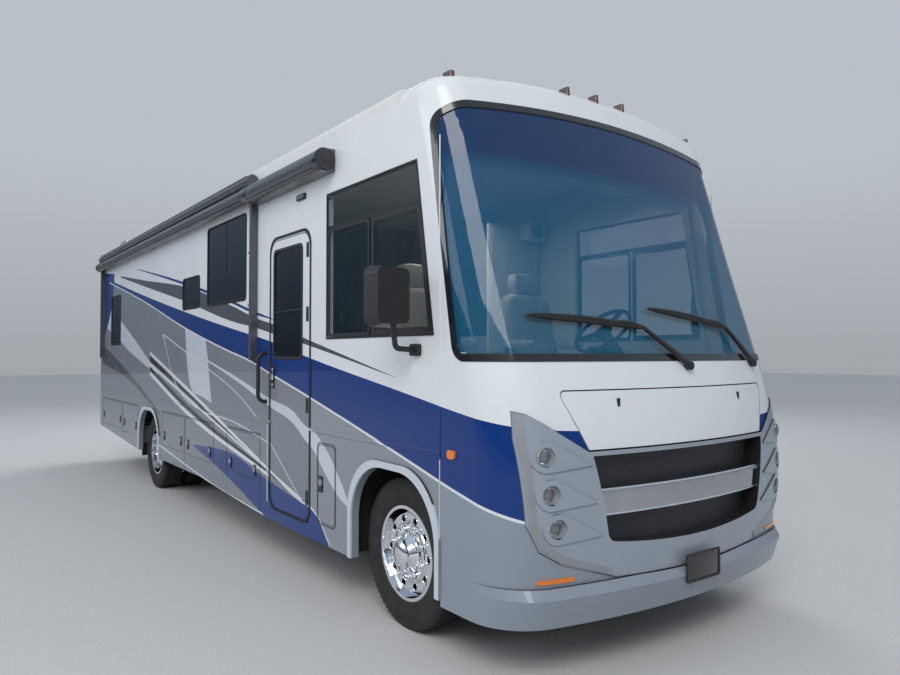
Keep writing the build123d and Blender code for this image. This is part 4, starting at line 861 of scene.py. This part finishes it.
# Entry door: seal, window frame and its bar, paddle latch, hinge leaves
DOOR_HINGE_Y, DOOR_LATCH_Y = -2.69, -2.048
DOOR_WINDOW_BAR_Z = 2.02
curb_place = wall_place(-1)
seal = bmesh.new()
frame_on(seal, round_loop(-2.748, -1.972, 0.425, 2.628, 0.128), 0.02, -1, 0.006, 0.001)
finish_piece(seal, "door_seal", seal_black)
door_trim = bmesh.new()
frame_on(door_trim, round_loop(-2.604, -2.047, 1.64, 2.526, 0.05), 0.024, -1, 0.012, 0.007)
block(door_trim, curb_place(-2.325, DOOR_WINDOW_BAR_Z, 0.002), (0.007, 0.5, 0.012), 0.003)
block(door_trim, curb_place(DOOR_LATCH_Y, 1.505, 0.004), (0.012, 0.062, 0.2), 0.005)
finish_piece(door_trim, "door_window_frame", black_plastic, "entry_door")
latch = bmesh.new()
block(latch, curb_place(DOOR_LATCH_Y, 1.52, 0.012), (0.012, 0.04, 0.095), 0.006)
barrel = ((0, 0.016), (0.004, 0.015), (0.006, 0.01), (0.004, 0.0))
spin(latch, curb_place(DOOR_LATCH_Y, 1.435, 0.01), (-1, 0, 0), barrel, 24)
finish_piece(latch, "door_latch", chrome, "entry_door")
hinge = bmesh.new()
for height in (0.62, 1.3, 1.98, 2.46):
    block(hinge, curb_place(DOOR_HINGE_Y, height, 0.0035), (0.006, 0.036, 0.11), 0.002)
    for step in (-0.036, 0.036):
        bolt = ((0, 0.007), (0.002, 0.006), (0.003, 0.0))
        spin(hinge, curb_place(DOOR_HINGE_Y, height + step, 0.0065), (-1, 0, 0), bolt, 12)
finish_piece(hinge, "door_hinge_leaves", black_steel, "entry_door")

# Wall trim: cover strips, utility hatch, porch light
LOCK = (
    (0, 0.026), (0.005, 0.025), (0.006, 0.019), (0.003, 0.017), (0.003, 0.01), (0.007, 0.009), (0.007, 0.0),
)
HATCH_LOCK_Y = -2.925
for side_name, side in SIDES:
    strips = bmesh.new()
    place = wall_place(side)
    # On the street side the strips beside the first luggage door end above it
    foot = 0.47 if side < 0 else 1.02
    for y, z0, z1 in (
        (SEAM_Y + 0.004, 0.47, 2.9), (-1.945, foot, 2.95), (-1.93, foot, 2.95), (4.86, 0.6, 2.95),
    ):
        block(strips, place(y, (z0 + z1) / 2, 0.001), (0.005, 0.008, z1 - z0), 0.002)
    finish_piece(strips, f"wall_strips_{side_name}", paint)
    hatch = bmesh.new()
    frame_on(hatch, round_loop(-3.15, -2.86, 0.47, 1.05, 0.045), 0.006, side, 0.003, 0.001)
    frame_on(hatch, round_loop(-3.135, -2.875, 0.485, 1.035, 0.035), 0.003, side, 0.003, 0.001)
    block(hatch, place(HATCH_LOCK_Y, 0.755, 0.003), (0.01, 0.062, 0.115), 0.005)
    finish_piece(hatch, f"utility_hatch_{side_name}", black_plastic)
    lock = bmesh.new()
    spin(lock, place(HATCH_LOCK_Y, 0.768, 0.007), (side, 0, 0), LOCK, 32)
    finish_piece(lock, f"hatch_lock_{side_name}", satin_grey)
# y and height of the porch light
PORCH_LIGHT = (-2.58, 2.87)
porch = bmesh.new()
block(porch, curb_place(*PORCH_LIGHT, 0.0075), (0.02, 0.15, 0.046), 0.009)
finish_piece(porch, "porch_light_base", black_plastic)
porch_lens = bmesh.new()
block(porch_lens, curb_place(*PORCH_LIGHT, 0.0165), (0.012, 0.11, 0.026), 0.005)
finish_piece(porch_lens, "porch_light_lens", clear_lens)

# Luggage doors: paddle locks and bead edges, riding on each door. Columns: first and last y
BAY_DOORS = {
    "curb": ((-1.78, -0.94), (-0.59, 0.38), (0.396, 1.31), (2.47, 3.4), (3.416, 4.8)),
    "street": ((-2.2, -0.9), (0.33, 1.31), (2.48, 3.9)),
}
for side_name, side in SIDES:
    for number, (y0, y1) in enumerate(BAY_DOORS[side_name], 1):
        door = f"luggage_door_{side_name}_{number}"
        low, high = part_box(door)
        plates, barrels = bmesh.new(), bmesh.new()
        for y in (y0 + 0.12, y1 - 0.12):
            height = low.z + (high.z - low.z) * 0.52
            block(plates, wall_place(side)(y, height, 0.003), (0.01, 0.055, 0.1), 0.005)
            spin(barrels, wall_place(side)(y, height + 0.014, 0.008), (side, 0, 0), LOCK, 28)
        bead = round_loop(y0 + 0.01, y1 - 0.01, max(low.z, 0.47) + 0.135, high.z - 0.01, 0.03)
        frame_on(plates, bead, 0.004, side, 0.002, 0.001)
        finish_piece(plates, f"{door}_lock_plates", black_plastic, door)
        finish_piece(barrels, f"{door}_lock_barrels", satin_grey, door)

# Awnings: rails, end heads, hems and brackets
rail, heads, hems = bmesh.new(), bmesh.new(), bmesh.new()
block(rail, (-1.33, 1.53, 3.215), (0.07, 6.3, 0.01), 0.004)
block(rail, (-1.29, 1.53, 3.24), (0.014, 6.3, 0.04), 0.004)
block(rail, (-1.312, -2.428, 3.112), (0.055, 1.34, 0.01), 0.004)
# Columns: x, y, height, radius, way out
AWNING_HEADS = (
    (-1.3525, -1.652, 3.045, 0.066, -1), (-1.3525, 4.712, 3.045, 0.066, 1),
    (-1.3605, -3.12, 3.03, 0.08, -1), (-1.3605, -1.738, 3.03, 0.08, 1),
)
for x, y, z, radius, way in AWNING_HEADS:
    cap = [(-0.05, radius + 0.001), (0.0, radius + 0.001), (0.008, radius - 0.006)]
    cap += [(0.01, 0.024), (0.016, 0.022), (0.018, 0.0)]
    spin(heads, (x, y, z), (0, way, 0), cap, 40)
for y in (-1.64, 4.7):
    block(heads, (-1.32, y, 3.13), (0.07, 0.058, 0.13), 0.016)
    for z in (1.7, 2.1, 2.55, 2.95):
        spin(heads, (-1.343, y, z), (-1, 0, 0), ((0, 0.009), (0.003, 0.008), (0.004, 0.0)), 14)
for x, y0, y1, z in ((-1.398, -1.6, 4.66, 3.005), (-1.415, -3.05, -1.8, 2.985)):
    block(hems, (x, (y0 + y1) / 2, z), (0.014, y1 - y0, 0.02), 0.006)
finish_piece(rail, "awning_rails", aluminium)
finish_piece(heads, "awning_heads", gloss_black)
finish_piece(hems, "awning_hems", black_plastic)

# Mirrors: glass in two panes, each with a bezel
MIRROR_X, MIRROR_GLASS_Y = 1.5, -4.1225
for side_name, side in SIDES:
    panes, bezel = bmesh.new(), bmesh.new()
    middle, face_y = side * MIRROR_X, MIRROR_GLASS_Y - 0.001
    for z0, z1 in ((1.93, 2.15), (1.848, 1.916)):
        block(panes, (middle, MIRROR_GLASS_Y, (z0 + z1) / 2), (0.182, 0.006, z1 - z0), 0.002)
        outer = round_loop(middle - 0.097, middle + 0.097, z0 - 0.006, z1 + 0.006, 0.014)
        ring_plate(bezel, outer, 0.008, lambda x, z, lift: Vector((x, face_y + lift, z)), 0.007)
    finish_piece(panes, f"mirror_glass_{side_name}", mirror_glass)
    finish_piece(bezel, f"mirror_bezel_{side_name}", black_plastic)

# Under the body: wheel arch liners and the entry step pan. Columns: distance from the axle, height
ARCH_PATH = ((-0.56, 0.34), (-0.556, 0.62), (-0.52, 0.8), (-0.43, 0.93), (-0.3, 1.0), (-0.12, 1.022))
ARCH_PATH += tuple((-y, z) for y, z in reversed(ARCH_PATH))
for side_name, side in SIDES:
    for where, axle_y, inner_x in (("front", FRONT_AXLE_Y, 0.6), ("rear", REAR_AXLE_Y, 0.575)):
        liner = bmesh.new()
        # Columns: distance from the middle of the coach, depth of the groove there
        ribs = ((inner_x, 0.0), (inner_x + 0.004, 0.0), (0.9, 0.0), (0.905, 0.008), (0.925, 0.008))
        rows = []
        for x, dip in (*ribs, (0.93, 0.0), (1.228, 0.0)):
            rows.append([liner.verts.new((side * x, axle_y + y, z - dip)) for y, z in ARCH_PATH])
        skin(liner, rows)
        liner.faces.new(rows[0])
        finish_piece(liner, f"{where}_arch_liner_{side_name}", arch_felt)
STEP_Y = -2.36
step_pan = bmesh.new()
block(step_pan, (-1.06, STEP_Y, 0.362), (0.3, 0.56, 0.026), 0.008)
for y in (STEP_Y - 0.28, STEP_Y + 0.28):
    block(step_pan, (-1.075, y, 0.405), (0.23, 0.012, 0.09), 0.004)
for line in range(7):
    block(step_pan, (-1.18 + line * 0.036, STEP_Y, 0.377), (0.01, 0.52, 0.006), 0.002)
finish_piece(step_pan, "entry_step_pan", black_steel)

# Cabin: padded front seats in place of the plain ones
BALL_RADIUS = 1.28


def cushion(mesh, centre, size, tilt=0.0, crown=0.42, cuts=9):
    """Crowned closed pad: a cube drawn part of the way to a ball."""
    made = bmesh.ops.create_cube(mesh, size=2.0)["verts"]
    edges = list({edge for vert in made for edge in vert.link_edges})
    bmesh.ops.subdivide_edges(mesh, edges=edges, cuts=cuts, use_grid_fill=True)
    turn = Matrix.Rotation(radians(tilt), 4, "X")
    for vert in [v for v in mesh.verts if not v.tag]:
        shaped = vert.co.lerp(vert.co.normalized() * BALL_RADIUS, crown)
        channel = 1.0 - 0.035 * (0.5 + 0.5 * cos(vert.co.x * 9.0)) * (abs(vert.co.x) < 0.85)
        shaped.z *= channel
        local = Vector([u * length / 2 for u, length in zip(shaped, size)])
        vert.co = Vector(centre) + turn @ local
        vert.tag = True


# Middle of a seat from the middle of the coach, and of its arms from its own
SEAT_X, ARM_X = 0.56, 0.27
# Columns: x, y, z, width, length, depth, tilt in degrees
SEAT_PADS = (
    (0.0, -3.36, 1.545, 0.5, 0.5, 0.15, 0.0), (0.0, -3.095, 1.89, 0.48, 0.58, 0.13, 80.0),
    (0.0, -3.035, 2.265, 0.27, 0.19, 0.11, 82.0),
    (-ARM_X, -3.28, 1.76, 0.06, 0.32, 0.06, 0.0), (ARM_X, -3.28, 1.76, 0.06, 0.32, 0.06, 0.0),
)
pads = bmesh.new()
for side in (-1, 1):
    for x, y, z, width, length, depth, tilt in SEAT_PADS:
        cushion(pads, (side * SEAT_X + x, y, z), (width, length, depth), tilt)
seat_pads = finish_piece(pads, "front_seat_pads", leather, angle=60.0)
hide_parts("front_seats")
pedestals = bmesh.new()
PEDESTAL = ((0, 0.2), (0.012, 0.2), (0.02, 0.19), (0.03, 0.09), (0.33, 0.08), (0.345, 0.17), (0.37, 0.17))
for side in (-1, 1):
    spin(pedestals, (side * SEAT_X, -3.36, 1.105), (0, 0, 1), PEDESTAL, 40)
    for x in (-ARM_X, ARM_X):
        block(pedestals, (side * SEAT_X + x, -3.13, 1.7), (0.022, 0.05, 0.2), 0.008)
finish_piece(pedestals, "seat_pedestals", black_steel)

# Dash: gauge hood, screen and vents, set on top of the moulding
def dash_top(x, y):
    return struck("dashboard", (x, y, 3.0), (0.0, 0.0, -1.0)).z


fittings, screens = bmesh.new(), bmesh.new()
dash_low, dash_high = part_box("dashboard")
dash_y = dash_low.y + (dash_high.y - dash_low.y) * 0.62
for x, width, height in ((0.52, 0.42, 0.11), (0.0, 0.3, 0.15)):
    z = dash_top(x, dash_y - 0.06)
    block(fittings, (x, dash_y - 0.06, z + height / 2 - 0.01), (width, 0.09, height), 0.03)
    block(screens, (x, dash_y - 0.013, z + height / 2 - 0.006), (width - 0.05, 0.006, height - 0.04), 0.002)
for x in (-0.95, -0.45, 0.95):
    z = dash_top(x, dash_y)
    for step in range(5):
        block(fittings, (x, dash_y - 0.05 + step * 0.022, z + 0.004), (0.2, 0.008, 0.008), 0.002)
finish_piece(fittings, "dash_fittings", black_plastic)
finish_piece(screens, "dash_screens", gloss_black)

# Cabinets: framed doors with handles. Pale panels: partition, speaker pod, box over the windscreen
# Columns: face, way out, first and last y, foot, top, count of doors
CABINETS = (
    (-0.6325, 1, -1.28, 0.88, 1.13, 2.0, 4), (0.5725, -1, -0.28, 0.88, 1.13, 3.1, 2),
    (-0.6325, 1, 0.92, 1.48, 1.13, 3.1, 1),
)
HANDLE = ((0, 0), (0, 0.005), (0.16, 0.005), (0.16, 0))
panels, handles, pale = bmesh.new(), bmesh.new(), bmesh.new()
for face_x, way, y0, y1, z0, z1, count in CABINETS:
    pitch, height = (y1 - y0) / count, (z0 + z1) / 2
    place = lambda y, z, lift: Vector((face_x + way * lift, y, z))
    for number in range(count):
        middle = y0 + pitch * (number + 0.5)
        low, high = middle - pitch / 2, middle + pitch / 2
        block(panels, place(middle, height, 0.007), (0.016, pitch - 0.012, z1 - z0 - 0.02), 0.003)
        outer = round_loop(low + 0.012, high - 0.012, z0 + 0.016, z1 - 0.016, 0.004)
        ring_plate(panels, outer, 0.055, lambda y, z, lift: place(y, z, 0.015 + lift), 0.006)
        spin(handles, place(high - 0.05, height - 0.08, 0.03), (0, 0, 1), HANDLE, 12)
block(pale, (0.905, -2.52, 2.02), (0.64, 0.03, 1.76), 0.008)
outer = round_loop(0.62, 1.19, 1.7, 2.84, 0.02)
ring_plate(pale, outer, 0.04, lambda x, z, lift: Vector((x, -2.535 - lift, z)), 0.008)
block(pale, (1.08, -2.6, 2.85), (0.24, 0.13, 0.19), 0.02)
block(pale, (0.0, -3.78, 3.07), (2.2, 0.34, 0.16), 0.03)
finish_piece(panels, "cabinet_doors", cabinet_wood)
finish_piece(handles, "cabinet_handles", aluminium)
finish_piece(pale, "cabin_panels", lining)
speaker = bmesh.new()
cone = ((0, 0.075), (0.006, 0.074), (0.008, 0.066), (0.003, 0.06), (0.006, 0.02), (0.007, 0))
spin(speaker, (1.08, -2.665, 2.85), (0, -1, 0), cone, 36)
finish_piece(speaker, "cabin_speaker", black_plastic)

# Roof units: louvres. Rear: lamp bezels, reflectors, camera, plate space, louvres
roof_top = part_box("roof_equipment")[1].z
louvres = bmesh.new()
for unit_y in (-2.05, 2.35):
    for height in [roof_top - 0.2 + step * 0.03 for step in range(5)]:
        block(louvres, (0.0, unit_y + 0.4915, height), (0.58, 0.008, 0.01), 0.003)
        for x in (-0.3815, 0.3815):
            block(louvres, (x, unit_y, height), (0.008, 0.6, 0.01), 0.003)
finish_piece(louvres, "roof_unit_louvres", black_plastic)


def rear_place(x, z, lift):
    """Place behind the rear cap, at x, a height and a lift off it."""
    return struck("rear_cap", (x, 7.0, z), (0.0, -1.0, 0.0)) + Vector((0.0, lift, 0.0))


bezels, rear_trim, reflectors = bmesh.new(), bmesh.new(), bmesh.new()
lamp_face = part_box("tail_lamps")[1].y - 0.012
for x in (-1.08, 1.08):
    for z, half_z, half_x in ((1.18, 0.216, 0.061), (3.08, 0.036, 0.081)):
        outer = round_loop(x - half_x, x + half_x, z - half_z, z + half_z, 0.02)
        ring_plate(bezels, outer, 0.009, lambda a, b, lift: Vector((a, lamp_face + lift, b)), 0.014)
    block(reflectors, rear_place(x, 0.86, 0.004), (0.1, 0.01, 0.045), 0.004)
block(rear_trim, rear_place(0.0, 2.96, 0.028), (0.12, 0.06, 0.07), 0.012)
block(rear_trim, rear_place(0.3, 1.0, 0.006), (0.33, 0.012, 0.18), 0.01)
for step in range(7):
    spot = rear_place(0.35, 2.3, 0.003) + Vector((0, 0, step * 0.03))
    block(rear_trim, spot, (0.4, 0.008, 0.012), 0.003)
finish_piece(bezels, "tail_lamp_bezels", satin_grey)
finish_piece(rear_trim, "rear_trim", black_plastic)
finish_piece(reflectors, "rear_reflectors", red_lens)


# Floor, light and camera
def stage_floor():
    bpy.ops.mesh.primitive_plane_add(size=120.0)
    floor = bpy.context.object
    floor.name = "studio_floor"
    surface = Surface("studio_floor")
    grain = surface.noise(60.0, 6.0)
    surface.set(Base_Color=surface.mottled(grain, (0.55, 0.55, 0.56), (0.62, 0.62, 0.62)), Roughness=0.85)
    surface.bump(grain, 0.002, 0.2)
    floor.data.materials.append(surface.material)


def soft_lamp(name, place, target, size, power, colour=(1.0, 1.0, 1.0)):
    data = bpy.data.lights.new(name, "AREA")
    data.shape = "RECTANGLE"
    data.size, data.size_y = size
    data.energy = power
    data.color = colour
    lamp = bpy.data.objects.new(name, data)
    lamp.location = place
    lamp.rotation_euler = (Vector(target) - Vector(place)).to_track_quat("-Z", "Y").to_euler()
    bpy.context.scene.collection.objects.link(lamp)


stage_floor()
soft_lamp("key", (-9.0, -12.0, 11.0), (0.0, -2.0, 1.5), (9.0, 6.0), 1100.0, (1.0, 0.98, 0.95))
soft_lamp("fill", (-14.0, 3.0, 7.0), (0.0, 0.0, 1.5), (10.0, 5.0), 400.0, (0.93, 0.96, 1.0))
soft_lamp("rim", (8.0, 9.0, 9.0), (0.0, 0.0, 2.0), (8.0, 5.0), 700.0)
soft_lamp("cabin", (0.0, -2.6, 2.9), (0.0, -2.9, 1.5), (1.2, 1.6), 26.0, (0.95, 1.0, 1.0))

# Sky: one gradient to look at, another for what glass and paint mirror. Columns: place, colour
BACKDROP = ((0.46, (0.58, 0.61, 0.65)), (0.62, (0.86, 0.92, 1.0)))
MIRRORED = ((0.495, (0.07, 0.08, 0.1)), (0.545, (0.2, 0.27, 0.36)), (0.66, (0.7, 0.84, 1.0)))
scene = bpy.context.scene
scene.world = bpy.data.worlds.new("sky")
scene.world.use_nodes = True
sky = Nodes(scene.world.node_tree)
rise = sky.node("SeparateXYZ", sky.node("TexCoord").outputs["Generated"]).outputs["Z"]
height = sky.spread(rise, -1.0, 1.0)
glossy = sky.node("LightPath").outputs["Is Glossy Ray"]
light = sky.tree.nodes["Background"].inputs
sky.put(light["Color"], sky.mix(glossy, sky.ramp(height, BACKDROP), sky.ramp(height, MIRRORED)))
sky.put(light["Strength"], 0.57)

CAMERA_PLACE = (-3.571, -7.572, 1.676)
CAMERA_YAW = radians(36.42)
CAMERA_PITCH = radians(1.39)
camera = bpy.data.objects.new("camera", bpy.data.cameras.new("camera"))
camera.data.sensor_width = 36.0
camera.data.lens = 28.49
camera.data.clip_end = 300.0
camera.location = CAMERA_PLACE
camera.rotation_euler = (pi / 2 + CAMERA_PITCH, 0.0, -CAMERA_YAW)
scene.collection.objects.link(camera)
scene.camera = camera
scene.view_settings.view_transform = "Standard"
